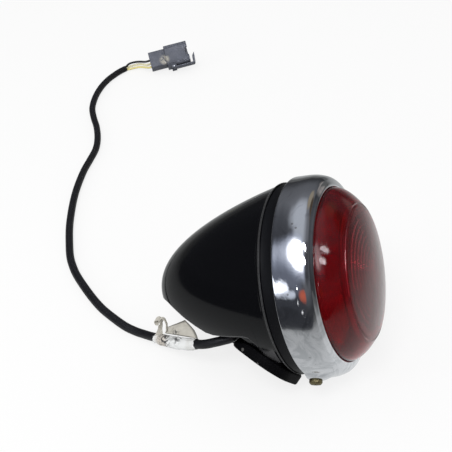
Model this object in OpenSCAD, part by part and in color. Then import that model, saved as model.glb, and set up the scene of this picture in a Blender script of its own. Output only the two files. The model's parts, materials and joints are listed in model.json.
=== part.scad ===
// Bullet tail light for a motorcycle, lying on its side with its lead laid out on the floor.
// Lamp pieces are drawn in the lamp's own axes: +X out of the lens, +Z to the lamp's top, the foot
// below, and the origin at the rear edge of the chrome rim. lay() then puts them in the resting pose.

/* [Resting pose] */
// Turn about the lamp's own axis that brings the foot down on its corner
lie_roll = 52.2; // [40:1:60]
// How far the lens end is raised, in degrees
lie_pitch = 17.3; // [10:1:25]
// Place of the lamp's origin over the floor
lie_at = [21.35, 0, 50.77]; // [0:0.01:60]

/* [Shell] */
// Radius of the steel shell at its front lip
shell_r0 = 50.2; // [50:0.1:50.6]
// Length of the shell from its front lip to the tail
shell_len = 79; // [70:1:90]
// Sheet thickness
sheet = 1; // [0.8:0.1:1.2]
// Rear end of the black band between shell and rim
lip_x = -6.7; // [-8:0.1:-6]
// Outer radius of the neck that the rim slides over
neck_r = 47.5; // [47:0.1:47.6]
// Front end of the neck
neck_x = 10; // [9:0.1:10]

/* [Rim and lens] */
// Largest radius of the chrome rim
rim_r = 53; // [52.8:0.1:53.4]
// Radius of the opening in the rim
rim_open_r = 45.3; // [45.2:0.1:45.6]
// Front face of the rim
rim_x = 19.2; // [19:0.1:20]
// Place of the rim screw along the lamp
rim_screw_x = 3.5; // [3.2:0.1:4]
// Height of the boss pressed out of the rim under its screw
screw_boss = 1.6; // [0.5:0.1:2]
// Top of the lens dome
lens_x = 36.7; // [35.5:0.1:37]
// Radius of the raised disc on the lens
lens_disc_r = 34.4; // [33:0.1:35]
// Wall thickness of the lens
lens_wall = 2.4; // [2:0.1:2.6]

/* [Foot] */
// Slope of the mounting face against the lamp's axis
foot_angle = 36; // [33:1:39]
// Distance of the mounting face from the origin
foot_drop = 51; // [50.5:0.1:51.5]
// Thickness of the rubber pad
pad_t = 5; // [4:0.1:5.2]
// Width of the rubber pad
pad_w = 41; // [38:1:42]
// Ends of the pad along the mounting face
pad_u = [-8, 24]; // [-10:1:26]
// Places of the two fixing screws along the mounting face
fixing_u = [0, 16]; // [0:1:16]
// Radius of the threads in the weld nuts
fixing_r = 2.5; // [2.1:0.1:2.6]

/* [Bulb and socket] */
// Radius of the bulb's brass cap
cap_r = 7.5; // [7.5:0.01:7.55]
// Bore radius of the socket
socket_r = 7.65; // [7.62:0.01:7.7]
// Angle that the bulb turns to unlock
bulb_turn = 20; // [15:1:22]
// Travel of the bulb against its spring
bulb_push = 2; // [1.5:0.1:2.2]
// Radius of the glass
glass_r = 13; // [12:0.1:13.5]

/* [Lead] */
// Radius of the black sleeve
sleeve_r = 2.5; // [2.3:0.1:2.6]
// Radius of one insulated wire
wire_r = 0.9; // [0.8:0.05:1]

/* [Hidden] */

rivet_y = 44.4;
rivet_r = 1.2;
socket_x = [-41, -8];
carrier_x = -32;
carrier_t = 2.8;
cap_x = [-27.5, -11];
pin_x = -22;
reflector_back_x = -14;
screw_tip_z = -44;
// Place of the earth screw on the mounting face
earth_at = [-2, 10];
// Middle of the lead's grommet on the mounting face
grommet_at = [-11.4, -10.4];

// Shared helpers

// Places children, drawn in the lamp's axes, in the resting pose
module lay() {
    translate(lie_at)
        rotate([0, -lie_pitch, 0])
            rotate([-lie_roll, 0, 0])
                children();
}

// A solid of revolution about the lamp's axis from points [radius, x]
module spin(points) {
    rotate([0, 90, 0])
        rotate_extrude($fn = 96)
            polygon(points);
}

// A round bar along the lamp's axis
module bar(r, x0, x1) {
    translate([x0, 0, 0])
        rotate([0, 90, 0])
            cylinder(r = r, h = x1 - x0, $fn = 48);
}

// A ring along the lamp's axis
module ring(r_in, r_out, x0, x1) {
    spin([[r_in, x0], [r_out, x0], [r_out, x1], [r_in, x1]]);
}

// A side outline [x, z], as thick as asked about the middle plane
module side(outline, width) {
    rotate([90, 0, 0])
        linear_extrude(height = width, center = true)
            polygon(outline);
}

// Places children on the mounting face: X along it to the front, Z into the lamp
module on_foot() {
    rotate([0, foot_angle, 0])
        translate([0, 0, -foot_drop])
            children();
}

// A plate with round corners between two places along X, centred on Y
module rounded_plate(u, width, r, z0, h) {
    half = width / 2 - r;
    translate([0, 0, z0])
        linear_extrude(height = h)
            union() {
                translate([u[0], -half])
                    square([u[1] - u[0], 2 * half]);
                translate([u[0] + r, -width / 2])
                    square([u[1] - u[0] - 2 * r, width]);
                for (x = [u[0] + r, u[1] - r], y = [-half, half])
                    translate([x, y])
                        circle(r = r, $fn = 48);
            }
}

function unit(v) = v / norm(v);

// Directions along a route, halfway between its neighbouring stretches
function headings(p) = [
    for (i = [0:len(p) - 1])
        unit(p[min(i + 1, len(p) - 1)] - p[max(i - 1, 0)])
];

// A sideways direction for each ring, carried along the route so that the tube doesn't twist
function sides(t, i = 1, done = []) =
    let (start = unit(cross(t[0], abs(t[0].z) < 0.8 ? [0, 0, 1] : [1, 0, 0])))
    let (all = len(done) == 0 ? [start] : done)
    i >= len(t)
        ? all
        : sides(t, i + 1, concat(all, [unit(all[i - 1] - t[i] * (all[i - 1] * t[i]))]));

// Smooth points through a route, a few for each stretch
function smooth(p, steps) = concat(
    [
        for (i = [0:len(p) - 2], k = [0:steps - 1])
            let (
                a = p[max(i - 1, 0)],
                b = p[i],
                c = p[i + 1],
                d = p[min(i + 2, len(p) - 1)],
                t = k / steps
            )
            0.5 * (2 * b + (c - a) * t + (2 * a - 5 * b + 4 * c - d) * t * t
                + (3 * b - a - 3 * c + d) * t * t * t)
    ],
    [p[len(p) - 1]]
);

// A round tube along points, closed at both ends
module tube(points, r, n = 8) {
    t = headings(points);
    s = sides(t);
    rings = len(points);
    corners = [
        for (i = [0:rings - 1], k = [0:n - 1])
            let (a = 360 * (k + 0.5) / n)
            points[i] + r * (cos(a) * s[i] + sin(a) * cross(t[i], s[i]))
    ];
    walls = [
        for (i = [0:rings - 2], k = [0:n - 1])
            let (a = i * n + k, b = i * n + (k + 1) % n)
            for (face = [[a, b + n, b], [a, a + n, b + n]])
                face
    ];
    ends = [
        for (k = [1:n - 2])
            for (face = [[0, k, k + 1], [(rings - 1) * n, (rings - 1) * n + k + 1, (rings - 1) * n + k]])
                face
    ];
    polyhedron(points = corners, faces = concat(walls, ends), convexity = 6);
}

// Shell

// Outer radius of the bullet at x, for a shell of a given length and front radius
function bullet_r(x, len, r0) = r0 * pow(1 - pow(min(1, (lip_x - x) / len), 1.11), 1 / 2.18);

// Stations from the tail to the lip, close together where the tail turns in
stations = [for (k = [0:24]) pow(k / 24, 1.6)];
function bullet(len, r0) = [
    for (k = stations)
        let (x = lip_x - len * (1 - k))
        [k == 0 ? 0 : bullet_r(x, len, r0), x]
];

// The shell's lower edge from the tail to the front, as the side view shows it
shell_edge = [
    [-90, -4], [-82, -8], [-76, -12], [-70, -17], [-64, -22], [-57, -27], [-51, -30.7], [-46, -32.6],
    [-40, -34], [-34, -35], [-25, -36.3], [-22, -37.2], [-19.6, -39.5], [-17.6, -42.5], [-17.2, -45.3],
    [-16, -46.6], [-13.5, -47.2], [-9.5, -47.5]
];

// All that is below the shell's lower edge
module below_edge(width) {
    side(concat(shell_edge, [[-9.5, -70], [-90, -70]]), width);
}

module shell_body() {
    outer = bullet(shell_len, shell_r0);
    inner = bullet(shell_len - 1.4, shell_r0 - sheet);
    front = len(outer) - 1;
    spin(concat(
        [for (i = [0:front - 1]) outer[i]],
        [[shell_r0 - 0.2, lip_x - 1.6], [shell_r0 + 0.5, lip_x - 1.2], [shell_r0 + 0.7, lip_x - 0.6]],
        [[shell_r0 + 0.6, lip_x], [neck_r, lip_x], [neck_r, neck_x], [neck_r - sheet, neck_x]],
        [[neck_r - sheet, lip_x - sheet], [shell_r0 - 1.6, lip_x - sheet - 0.1]],
        [for (i = [front - 1:-1:0]) inner[i]]
    ));
}

// Two ears inside the neck that carry the reflector
module neck_ears() {
    for (a = [0, 180])
        rotate([a, 0, 0])
            intersection() {
                ring(42.9, neck_r - sheet / 2, neck_x - 2, neck_x);
                translate([0, 0, -4])
                    cube([20, 60, 8]);
            }
}

module shell() {
    color([0.03, 0.03, 0.035])
        lay()
            difference() {
                union() {
                    shell_body();
                    neck_ears();
                }
                below_edge(90);
                // Open notch that the rim screw slides out of
                translate([rim_screw_x - 2.3, -2.3, -60])
                    cube([20, 4.6, 20]);
                for (a = [0, 180])
                    rotate([a, 0, 0])
                        translate([0, rivet_y, 0])
                            bar(rivet_r + 0.05, neck_x - 4, neck_x + 1);
            }
}

// Foot

module base_plate() {
    color([0.03, 0.03, 0.035])
        lay()
            difference() {
                intersection() {
                    on_foot()
                        union() {
                            rounded_plate([-7, 26], 64, 5, pad_t + 1.2, 2);
                            // Tongue that holds the lead's grommet
                            translate([grommet_at.x, grommet_at.y, pad_t + 1.2])
                                cylinder(r = 6.4, h = 2, $fn = 48);
                            translate([grommet_at.x, grommet_at.y - 6.4, pad_t + 1.2])
                                cube([10, 12.8, 2]);
                        }
                    spin(concat(
                        [for (p = bullet(shell_len - 1.4, shell_r0 - sheet - 0.1)) if (p.y < lip_x - 2) p],
                        [[shell_r0 - 2.4, lip_x - 1.8], [0, lip_x - 1.8]]
                    ));
                }
                on_foot() {
                    for (u = fixing_u)
                        translate([u, 0, 0])
                            cylinder(r = 3.2, h = 20, $fn = 48);
                    translate([earth_at.x, earth_at.y, 0])
                        cylinder(r = 1.7, h = 20, $fn = 32);
                    translate([grommet_at.x, grommet_at.y, 0])
                        cylinder(r = 3.9, h = 20, $fn = 48);
                }
            }
}

module weld_nuts() {
    color([0.6, 0.6, 0.62])
        lay()
            on_foot()
                for (u = fixing_u)
                    translate([u, 0, pad_t + 3.2])
                        difference() {
                            rotate([0, 0, 30])
                                cylinder(r = 5.6, h = 5, $fn = 6);
                            translate([0, 0, -1])
                                cylinder(r = fixing_r, h = 7, $fn = 48);
                        }
}

// The shell's wall about the foot, a little thicker all round
module thick_wall(more) {
    rear_x = -30;
    step = (lip_x - 0.8 - rear_x) / 16;
    difference() {
        spin(concat(
            [
                for (i = [0:16])
                    let (x = rear_x + i * step)
                    [bullet_r(x, shell_len + more, shell_r0 + more), x]
            ],
            [
                for (i = [16:-1:0])
                    let (x = rear_x + i * step)
                    [bullet_r(x, shell_len - 1.4, shell_r0 - sheet) - more, x]
            ]
        ));
        translate([0, 0, -more])
            below_edge(90);
    }
}

module fender_pad() {
    color([0.04, 0.04, 0.04])
        lay()
            difference() {
                union() {
                    on_foot()
                        difference() {
                            // Wide round nose in front, smaller corners behind
                            intersection() {
                                rounded_plate([pad_u[0], pad_u[1] + 20], pad_w, 9, 0, pad_t);
                                rounded_plate([pad_u[0] - 20, pad_u[1]], pad_w, 16, 0, pad_t);
                            }
                            // The upper face slopes down to the rear end
                            translate([2, 0, pad_t])
                                rotate([0, -22, 0])
                                    translate([-20, -30, 0])
                                        cube([20, 60, 10]);
                        }
                    // Raised land under the base plate
                    on_foot()
                        rounded_plate([-5, 20], 30, 4, pad_t - 0.5, 1.7);
                }
                // The shell and the black band press into it in front
                thick_wall(0.15);
                ring(neck_r, shell_r0 + 0.9, lip_x - 1.6, 5);
                on_foot()
                    for (u = fixing_u)
                        translate([u, 0, -1])
                            cylinder(r = 3.4, h = 20, $fn = 48);
            }
}

// Rim and lens

module rim() {
    color([0.8, 0.81, 0.83])
        lay()
            difference() {
                union() {
                    spin([
                        [rim_r - 0.6, 0], [rim_r - 0.15, 0.25], [rim_r, 0.8], [rim_r, 6], [rim_r - 0.1, 9],
                        [rim_r - 0.5, 12.4], [rim_r - 1.5, 15.2], [rim_r - 2.4, 16.7], [rim_r - 3.4, 17.7],
                        [rim_r - 6.4, rim_x], [rim_open_r + 0.6, rim_x], [rim_open_r + 0.1, rim_x - 0.4],
                        [rim_open_r, rim_x - 0.9], [rim_open_r, rim_x - 1.7], [rim_open_r + 1.6, rim_x - 1.2],
                        [rim_r - 5.3, rim_x - 1.7], [rim_r - 3.9, 16.4], [rim_r - 2.6, 14.6],
                        [rim_r - 1.7, 12], [rim_r - 1.25, 9], [rim_r - 1.2, 5.5], [rim_r - 1.3, 3],
                        [rim_r - 1.6, 1.2], [neck_r + 0.5, 1.2], [neck_r + 0.5, 0]
                    ]);
                    // Boss for the screw, flush with the rim's rear edge
                    intersection() {
                        translate([rim_screw_x, 0, -rim_r - screw_boss])
                            cylinder(r1 = 4.4, r2 = 9, h = screw_boss + 1, $fn = 96);
                        translate([0, -10, -rim_r - 10])
                            cube([20, 20, 20]);
                    }
                }
                translate([rim_screw_x, 0, -60])
                    cylinder(r = 2.15, h = 20, $fn = 48);
                // Round seat in the rear flange for the screw's spacer
                translate([rim_screw_x, 0, -rim_r + 1.35])
                    cylinder(r = 3.6, h = 6, $fn = 48);
            }
}

module rim_screw() {
    color([0.35, 0.32, 0.22])
        lay()
            translate([rim_screw_x, 0, -rim_r - screw_boss])
                difference() {
                    union() {
                        translate([0, 0, -2.4])
                            cylinder(r1 = 2.6, r2 = 3.4, h = 1, $fn = 48);
                        translate([0, 0, -1.4])
                            cylinder(r = 3.4, h = 1.4, $fn = 48);
                        translate([0, 0, -0.5])
                            cylinder(r = 2, h = rim_r + screw_boss + 0.5 + screw_tip_z, $fn = 48);
                    }
                    // Cross recess
                    for (a = [0, 90])
                        rotate([0, 0, a])
                            translate([-1.9, -0.4, -3])
                                cube([3.8, 0.8, 1.8]);
                }
}

module rim_screw_spacer() {
    color([0.6, 0.6, 0.6])
        lay()
            translate([rim_screw_x, 0, -rim_r + 1.4])
                difference() {
                    cylinder(r = 3.5, h = rim_r - 1.4 - neck_r - 0.25, $fn = 48);
                    translate([0, 0, -1])
                        cylinder(r = 2.1, h = 10, $fn = 48);
                }
}

module rim_screw_nut() {
    color([0.6, 0.58, 0.5])
        lay()
            translate([rim_screw_x, 0, -neck_r + sheet + 0.3])
                difference() {
                    translate([-3.3, -3.3, 0])
                        cube([6.6, 6.6, 2.4]);
                    translate([0, 0, -1])
                        cylinder(r = 2.05, h = 5, $fn = 48);
                }
}

module rim_seal() {
    color([0.05, 0.05, 0.05])
        lay()
            spin([
                [neck_r + 0.05, lip_x], [shell_r0 + 0.1, lip_x], [shell_r0 - 0.1, lip_x + 1.5],
                [shell_r0 + 0.2, -1.2], [shell_r0 + 0.4, -0.05], [neck_r + 0.05, -0.05]
            ]);
}

// Height of the dome at radius r
function dome_x(r) = lens_x - 5.2 * pow(r / lens_disc_r, 2);

// Radius of the lens's flank at x
flank_x = [19.5, 31];
flank_r = 45.1;
function flank(x) = flank_r - 9.6 * pow(max(0, x - flank_x[0]) / (flank_x[1] - flank_x[0]), 1.67);

lens_ring_step = 3;
lens_rings = [for (r = [30:-lens_ring_step:3]) r];

module lens() {
    color([0.55, 0.02, 0.04, 0.85])
        lay()
            spin(concat(
                [[47.2, 13.6], [47.2, 17.2], [flank_r, 17.2]],
                [for (x = [flank_x[0]:1.45:30.4]) [flank(x), x]],
                [[lens_disc_r + 1.2, 30.9], [lens_disc_r + 0.3, 30.9], [lens_disc_r - 0.3, dome_x(lens_disc_r)]],
                [for (r = [30:-5:5]) [r, dome_x(r)]],
                [[0, lens_x], [0, lens_x - lens_wall]],
                [
                    for (i = [len(lens_rings) - 1:-1:0])
                        for (step = [0, 0.7])
                            [lens_rings[i], dome_x(lens_rings[i]) - lens_wall - step]
                ],
                [[33, 28.9]],
                [for (x = [27.5:-2.5:20]) [flank(x + 1.7) - 1.6, x]],
                [[42.6, 17.5], [42.6, 13.6]]
            ));
}

module lens_seal() {
    color([0.06, 0.06, 0.06])
        lay()
            difference() {
                ring(44, 47.2, neck_x + 0.85, 13.6);
                // Gap for the rim screw's nut
                translate([0, -4.4, -60])
                    cube([11.6, 8.8, 40]);
            }
}

// Reflector and socket

bowl_r = 42;
bowl_front_x = neck_x - 0.8;
throat_r = 8.9;
bowl_depth = bowl_front_x - reflector_back_x;
function bowl_x(r) = reflector_back_x + bowl_depth * pow((r - 13) / (bowl_r - 13), 1.8);
bowl_steps = [for (r = [13:29 / 10:42.1]) r];

module reflector() {
    color([0.85, 0.85, 0.87])
        lay()
            difference() {
                spin(concat(
                    [[throat_r, reflector_back_x], [12.95, reflector_back_x]],
                    [for (r = bowl_steps) [r + 0.3, bowl_x(r) - 0.2]],
                    [[bowl_r + 0.6, neck_x], [neck_r + 0.3, neck_x], [neck_r + 0.3, neck_x + 0.8]],
                    [[bowl_r - 0.6, neck_x + 0.8]],
                    [for (i = [len(bowl_steps) - 1:-1:0]) [bowl_steps[i] - 0.5, bowl_x(bowl_steps[i]) + 0.8]],
                    [[throat_r, reflector_back_x + 0.8]]
                ));
                // Notch that the rim screw's nut passes through
                translate([neck_x - 0.6, -4.1, -60])
                    cube([4, 8.2, 60 - 43.1]);
                for (a = [0, 180])
                    rotate([a, 0, 0])
                        translate([0, rivet_y, 0])
                            bar(rivet_r + 0.05, neck_x - 1, neck_x + 2);
                for (a = [30:120:270])
                    rotate([a, 0, 0])
                        translate([0, 11, 0])
                            bar(1, reflector_back_x - 1, reflector_back_x + 1.5);
            }
}

module reflector_rivets() {
    color([0.7, 0.7, 0.7])
        lay()
            for (a = [0, 180])
                rotate([a, 0, 0])
                    translate([0, rivet_y, 0])
                        union() {
                            bar(rivet_r, neck_x - 2.6, neck_x + 0.8);
                            bar(2, neck_x - 3, neck_x - 2.05);
                        }
}

// A wedge about the lamp's axis between two angles from +Z
module wedge(a0, a1, x0, x1) {
    translate([x0, 0, 0])
        rotate([0, 90, 0])
            linear_extrude(height = x1 - x0)
                polygon([[0, 0], for (a = [a0:(a1 - a0) / 4:a1 + 0.01]) [-14 * cos(a), 14 * sin(a)]]);
}

pin_r = 1;
pin_half = 8;

module bulb_socket() {
    color([0.75, 0.76, 0.72])
        lay()
            difference() {
                spin([
                    [4.6, socket_x[0]], [socket_r + 0.8, socket_x[0]], [socket_r + 0.8, reflector_back_x - 0.85],
                    [12.8, reflector_back_x - 0.85], [12.8, reflector_back_x - 0.05],
                    [socket_r + 0.8, reflector_back_x - 0.05], [socket_r + 0.8, socket_x[1]],
                    [socket_r, socket_x[1]], [socket_r, socket_x[0] + 0.8], [4.6, socket_x[0] + 0.8]
                ]);
                // Pin slots: a pocket that locks each pin and a way out to the mouth
                for (a = [0, 180]) {
                    wedge(a - pin_half, a + bulb_turn + pin_half, pin_x - bulb_push - pin_r - 0.15, pin_x + pin_r + 0.1);
                    wedge(a + bulb_turn - pin_half, a + bulb_turn + pin_half, pin_x, socket_x[1] + 1);
                }
                for (a = [30:120:270])
                    rotate([a, 0, 0])
                        translate([0, 11, 0])
                            bar(1, reflector_back_x - 2, reflector_back_x + 1);
            }
}

module socket_rivets() {
    color([0.7, 0.7, 0.7])
        lay()
            for (a = [30:120:270])
                rotate([a, 0, 0])
                    translate([0, 11, 0])
                        union() {
                            bar(0.98, reflector_back_x - 1.4, reflector_back_x + 1.3);
                            bar(1.7, reflector_back_x - 1.6, reflector_back_x - 0.9);
                            bar(1.7, reflector_back_x + 0.85, reflector_back_x + 1.4);
                        }
}

// Contact spring, carrier and bulb

spring_turns = 4;
spring_wire_r = 0.45;
spring_coil_r = 5.8;

module contact_spring() {
    x0 = socket_x[0] + 0.8 + spring_wire_r + 0.02;
    x1 = carrier_x - spring_wire_r - 0.02;
    steps = 12 * spring_turns;
    color([0.7, 0.7, 0.72])
        lay()
            tube([
                for (i = [0:steps])
                    let (a = 360 * spring_turns * i / steps)
                    [x0 + (x1 - x0) * i / steps, spring_coil_r * cos(a), spring_coil_r * sin(a)]
            ], spring_wire_r, 6);
}

contact_y = 3.4;

module contact_carrier() {
    color([0.35, 0.22, 0.12])
        lay()
            difference() {
                bar(socket_r - 0.25, carrier_x, carrier_x + carrier_t);
                for (y = [-contact_y, contact_y])
                    translate([0, y, 0])
                        bar(1.4, carrier_x - 1, carrier_x + carrier_t + 1);
            }
}

module carrier_contacts() {
    color([0.8, 0.65, 0.3])
        lay()
            for (y = [-contact_y, contact_y])
                translate([0, y, 0])
                    bar(1.38, carrier_x - 0.6, carrier_x + carrier_t + 0.35);
}

module bulb_contacts() {
    color([0.75, 0.75, 0.75])
        lay()
            for (y = [-contact_y, contact_y])
                translate([0, y, 0])
                    bar(1.3, carrier_x + carrier_t + 0.4, cap_x[0] - 0.4);
}

module bulb_insulator() {
    color([0.05, 0.05, 0.08])
        lay()
            bar(6.4, cap_x[0] - 0.4, cap_x[0] + 0.6);
}

module bulb_cap() {
    color([0.8, 0.66, 0.32])
        lay()
            union() {
                spin([
                    [6.45, cap_x[0]], [cap_r - 0.4, cap_x[0]], [cap_r, cap_x[0] + 0.6], [cap_r, cap_x[1]],
                    [cap_r - 0.5, cap_x[1]], [cap_r - 0.5, cap_x[0] + 1.4], [6.45, cap_x[0] + 1.4]
                ]);
                for (a = [0, 180])
                    rotate([a, 0, 0])
                        translate([pin_x, 0, cap_r - 0.3])
                            cylinder(r = pin_r, h = 1.3, $fn = 32);
            }
}

glass_x = 7;
glass_neck_r = 6.6;

// Outline of the bulb's glass for a given drawn-in distance
function glass_outline(inset) = concat(
    [for (a = [-62:12.4:62]) [max(0, (glass_r - inset) * cos(a)), glass_x + (glass_r + 2.4 - inset) * sin(a)]],
    [[0, glass_x + glass_r + 2.4 - inset]]
);

module bulb_glass() {
    color([0.9, 0.92, 0.95, 0.4])
        lay()
            spin(concat(
                [[glass_neck_r, cap_x[1] - 3]],
                glass_outline(0),
                [for (p = [for (i = [len(glass_outline(0.8)) - 1:-1:0]) glass_outline(0.8)[i]]) p],
                [[glass_neck_r - 1, cap_x[1] - 3]]
            ));
}

module bulb_stem() {
    color([0.85, 0.87, 0.9, 0.5])
        lay()
            union() {
                bar(glass_neck_r - 1.1, cap_x[1] - 3, cap_x[1] - 1.6);
                bar(2.2, cap_x[1] - 2, -0.05);
            }
}

post_y = [-4.5, -1.6, 1.6, 4.5];

module bulb_filaments() {
    color([0.45, 0.45, 0.47])
        lay()
            union() {
                for (y = post_y)
                    hull() {
                        translate([0, y * 0.36, 0])
                            rotate([0, 90, 0])
                                cylinder(r = 0.3, h = 0.4, $fn = 16);
                        translate([8, y, 0])
                            rotate([0, 90, 0])
                                cylinder(r = 0.3, h = 0.4, $fn = 16);
                    }
                for (y = [-4.5, 1.6])
                    translate([8.2, y, 0])
                        rotate([-90, 0, 0])
                            cylinder(r = 0.4, h = 2.9, $fn = 16);
            }
}

// Earth point, grommet and leads inside the shell

module earth_screw() {
    color([0.6, 0.6, 0.6])
        lay()
            on_foot()
                translate([earth_at.x, earth_at.y, 0])
                    union() {
                        translate([0, 0, pad_t + 1.8])
                            cylinder(r = 1.65, h = 3.6, $fn = 32);
                        translate([0, 0, pad_t + 4.1])
                            cylinder(r = 3, h = 1.8, $fn = 32);
                    }
}

module earth_tag() {
    color([0.8, 0.7, 0.4])
        lay()
            on_foot()
                translate([earth_at.x, earth_at.y, pad_t + 3.25])
                    difference() {
                        union() {
                            cylinder(r = 3.4, h = 0.8, $fn = 32);
                            translate([-9, -1.5, 0])
                                cube([9, 3, 0.8]);
                        }
                        translate([0, 0, -1])
                            cylinder(r = 1.7, h = 3, $fn = 32);
                    }
}

// Rubber grommet in the base plate's tongue; its bore follows the sleeve, which leans a little
module cord_grommet() {
    color([0.05, 0.05, 0.05])
        lay()
            difference() {
                on_foot()
                    translate([grommet_at.x, grommet_at.y, 0])
                        union() {
                            translate([0, 0, pad_t + 0.05])
                                cylinder(r = 4.8, h = 1.1, $fn = 48);
                            translate([0, 0, pad_t + 0.05])
                                cylinder(r = 3.88, h = 4, $fn = 48);
                            translate([0, 0, pad_t + 3.25])
                                cylinder(r = 4.8, h = 1.4, $fn = 48);
                        }
                on_foot()
                    multmatrix([
                        [1, 0, sleeve_lean.x, grommet_at.x - 7.2 * sleeve_lean.x],
                        [0, 1, sleeve_lean.y, grommet_at.y - 7.2 * sleeve_lean.y],
                        [0, 0, 1, 0]
                    ])
                        cylinder(r = sleeve_r + 0.02, h = 20, $fn = 48);
            }
}

// Routes of the three wires inside the shell, in the lamp's axes
lead_cream_route = [
    [-34.6, -2.4, 1], [-41, -2.4, 1], [-46, -2.8, -0.5], [-48, -4, -5], [-43, -5.8, -9.2],
    [-35.5, -7.4, -10.6], [-30.6, -9, -11.6], [-28.8, -9.5, -14], [-28.7, -9.5, -18]
];
lead_yellow_route = [
    [-34.6, 2.4, 1], [-42, 2.3, 1], [-49, 1, -1.5], [-51, -1, -7], [-45, -4.5, -12], [-37, -8, -13.6],
    [-32.4, -9.6, -14.6], [-30.9, -9.6, -17.5]
];
lead_black_route = [
    [-30.9, 10, -28], [-33.6, 10, -25.7], [-36.5, 9, -22], [-37.5, 5, -18.5], [-36, 0, -16.5],
    [-33.3, -4.6, -15], [-30.4, -7, -14.8], [-29.6, -7.7, -17.8]
];

module lead_black() {
    color([0.05, 0.05, 0.05])
        lay()
            tube(smooth(lead_black_route, 2), wire_r);
}

module lead_cream() {
    color([0.85, 0.8, 0.6])
        lay()
            tube(smooth(lead_cream_route, 2), wire_r);
}

module lead_yellow() {
    color([0.85, 0.75, 0.35])
        lay()
            tube(smooth(lead_yellow_route, 2), wire_r);
}

// Lead outside the lamp, drawn where it lies on the floor

// First stretch of the sleeve, from inside the shell through the grommet, on the mounting face
sleeve_inside = [[-13.2, -8.9, 18.5], [-11.6, -9.2, 15], [-10.7, -9.9, 11], [-12.1, -10.9, 3.5]];
sleeve_lean = [0.187, 0.133];

// The same stretch where it lies on the floor's frame
function from_foot(p) = [
    p.x * cos(foot_angle) + (p.z - foot_drop) * sin(foot_angle),
    p.y,
    (p.z - foot_drop) * cos(foot_angle) - p.x * sin(foot_angle)
];
function rolled(p) = [
    p.x,
    p.y * cos(lie_roll) + p.z * sin(lie_roll),
    p.z * cos(lie_roll) - p.y * sin(lie_roll)
];
function pitched(p) = [
    p.x * cos(lie_pitch) - p.z * sin(lie_pitch),
    p.y,
    p.x * sin(lie_pitch) + p.z * cos(lie_pitch)
];
function laid(p) = lie_at + pitched(rolled(p));

// Route of the sleeve over the floor: round beside the lamp and away to the connector
sleeve_outside = [
    [-13.1, -32.8, 28.3], [-17, -34.3, 27.2], [-21.2, -35.2, 25.7], [-27.9, -35.1, 22.5],
    [-36.9, -31.4, 17.5], [-47.4, -27.3, 12.5], [-58.4, -22.4, 8], [-64.4, -19.7, 5.5],
    [-70.4, -17.1, 3.6], [-75.9, -15.3, 2.7], [-83.4, -12.7, 2.5], [-92.9, -7.7, 2.5], [-103.4, -1.2, 2.5],
    [-114.9, 8.3, 2.5], [-128.9, 21.8, 2.5], [-136.4, 30.8, 2.5], [-142.4, 39.8, 2.5], [-148.9, 52.8, 2.5],
    [-155.9, 68.3, 2.5], [-161.9, 84.3, 2.5], [-167.4, 101.3, 2.5], [-171.4, 116.8, 2.5], [-174.9, 135.3, 2.5],
    [-176.4, 149.8, 2.5], [-178.4, 165.3, 2.5], [-183.4, 180.3, 2.5], [-190.9, 195.8, 2.5], [-198.9, 208.8, 2.5],
    [-206.4, 223.3, 2.5], [-211.4, 241.3, 2.5], [-213.4, 258.3, 2.5], [-212.9, 271.8, 2.5], [-210.9, 281.8, 2.5],
    [-208.6, 289.3, 2.5], [-205.9, 294.7, 2.6]
];
sleeve_route = concat([for (p = sleeve_inside) laid(from_foot(p))], sleeve_outside);

module cord_sleeve() {
    color([0.05, 0.05, 0.06])
        tube(sleeve_route, sleeve_r, 10);
}

// Paper label: a band wrapped round the sleeve, and its two loose ends standing up
band_route = [
    [-32.3, -33.3, 20.05], [-36.9, -31.4, 17.5], [-43.4, -28.9, 14.4], [-47.4, -27.3, 12.5], [-58.4, -22.4, 8],
    [-62.4, -20.6, 6.33]
];

module label_band() {
    color([0.85, 0.84, 0.82])
        difference() {
            tube(smooth(band_route, 2), sleeve_r + 0.55, 12);
            tube(smooth(concat([[-27.9, -35.1, 22.5]], band_route, [[-70.4, -17.1, 3.6]]), 2), sleeve_r + 0.1, 12);
        }
}

// A flat sheet with four corners, a little thick
module sheet_of(corners, thick) {
    n = thick * unit(cross(corners[1] - corners[0], corners[2] - corners[0]));
    polyhedron(
        points = concat(corners, [for (c = corners) c + n]),
        faces = [
            [0, 1, 2], [0, 2, 3], [4, 6, 5], [4, 7, 6],
            [0, 5, 1], [0, 4, 5], [1, 6, 2], [1, 5, 6], [2, 7, 3], [2, 6, 7], [3, 4, 0], [3, 7, 4]
        ]
    );
}

module label_flag() {
    color([0.8, 0.79, 0.76])
        sheet_of([[-55.6, -21.1, 11.3], [-54.6, -19.5, 14.8], [-43.6, -19.6, 22.6], [-32.6, -32.2, 23]], 0.4);
}

// A ribbon along points, of even width in one direction
module ribbon(points, across, thick) {
    t = headings(points);
    rings = len(points);
    corners = [
        for (i = [0:rings - 1])
            let (n = thick / 2 * unit(cross(t[i], across)))
            for (c = [across / 2 + n, across / 2 - n, -across / 2 - n, -across / 2 + n])
                points[i] + c
    ];
    walls = [
        for (i = [0:rings - 2], k = [0:3])
            let (a = 4 * i + k, b = 4 * i + (k + 1) % 4)
            for (face = [[a, b, b + 4], [a, b + 4, a + 4]])
                face
    ];
    last = 4 * (rings - 1);
    polyhedron(
        points = corners,
        faces = concat(walls, [[0, 2, 1], [0, 3, 2], [last, last + 1, last + 2], [last, last + 2, last + 3]])
    );
}

label_curl = [
    [-59.5, -22.5, 10.8], [-59.2, -22.1, 14.2], [-58.3, -22, 18.4], [-57, -22.1, 22.3], [-55, -22.4, 23.8],
    [-53.5, -22.9, 22.2], [-53, -23.3, 18.8], [-53.2, -23.5, 14.8]
];

module label_strip() {
    color([0.8, 0.78, 0.74])
        ribbon(smooth(label_curl, 2), [-1, 2.5, 0.4], 0.4);
}

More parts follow.
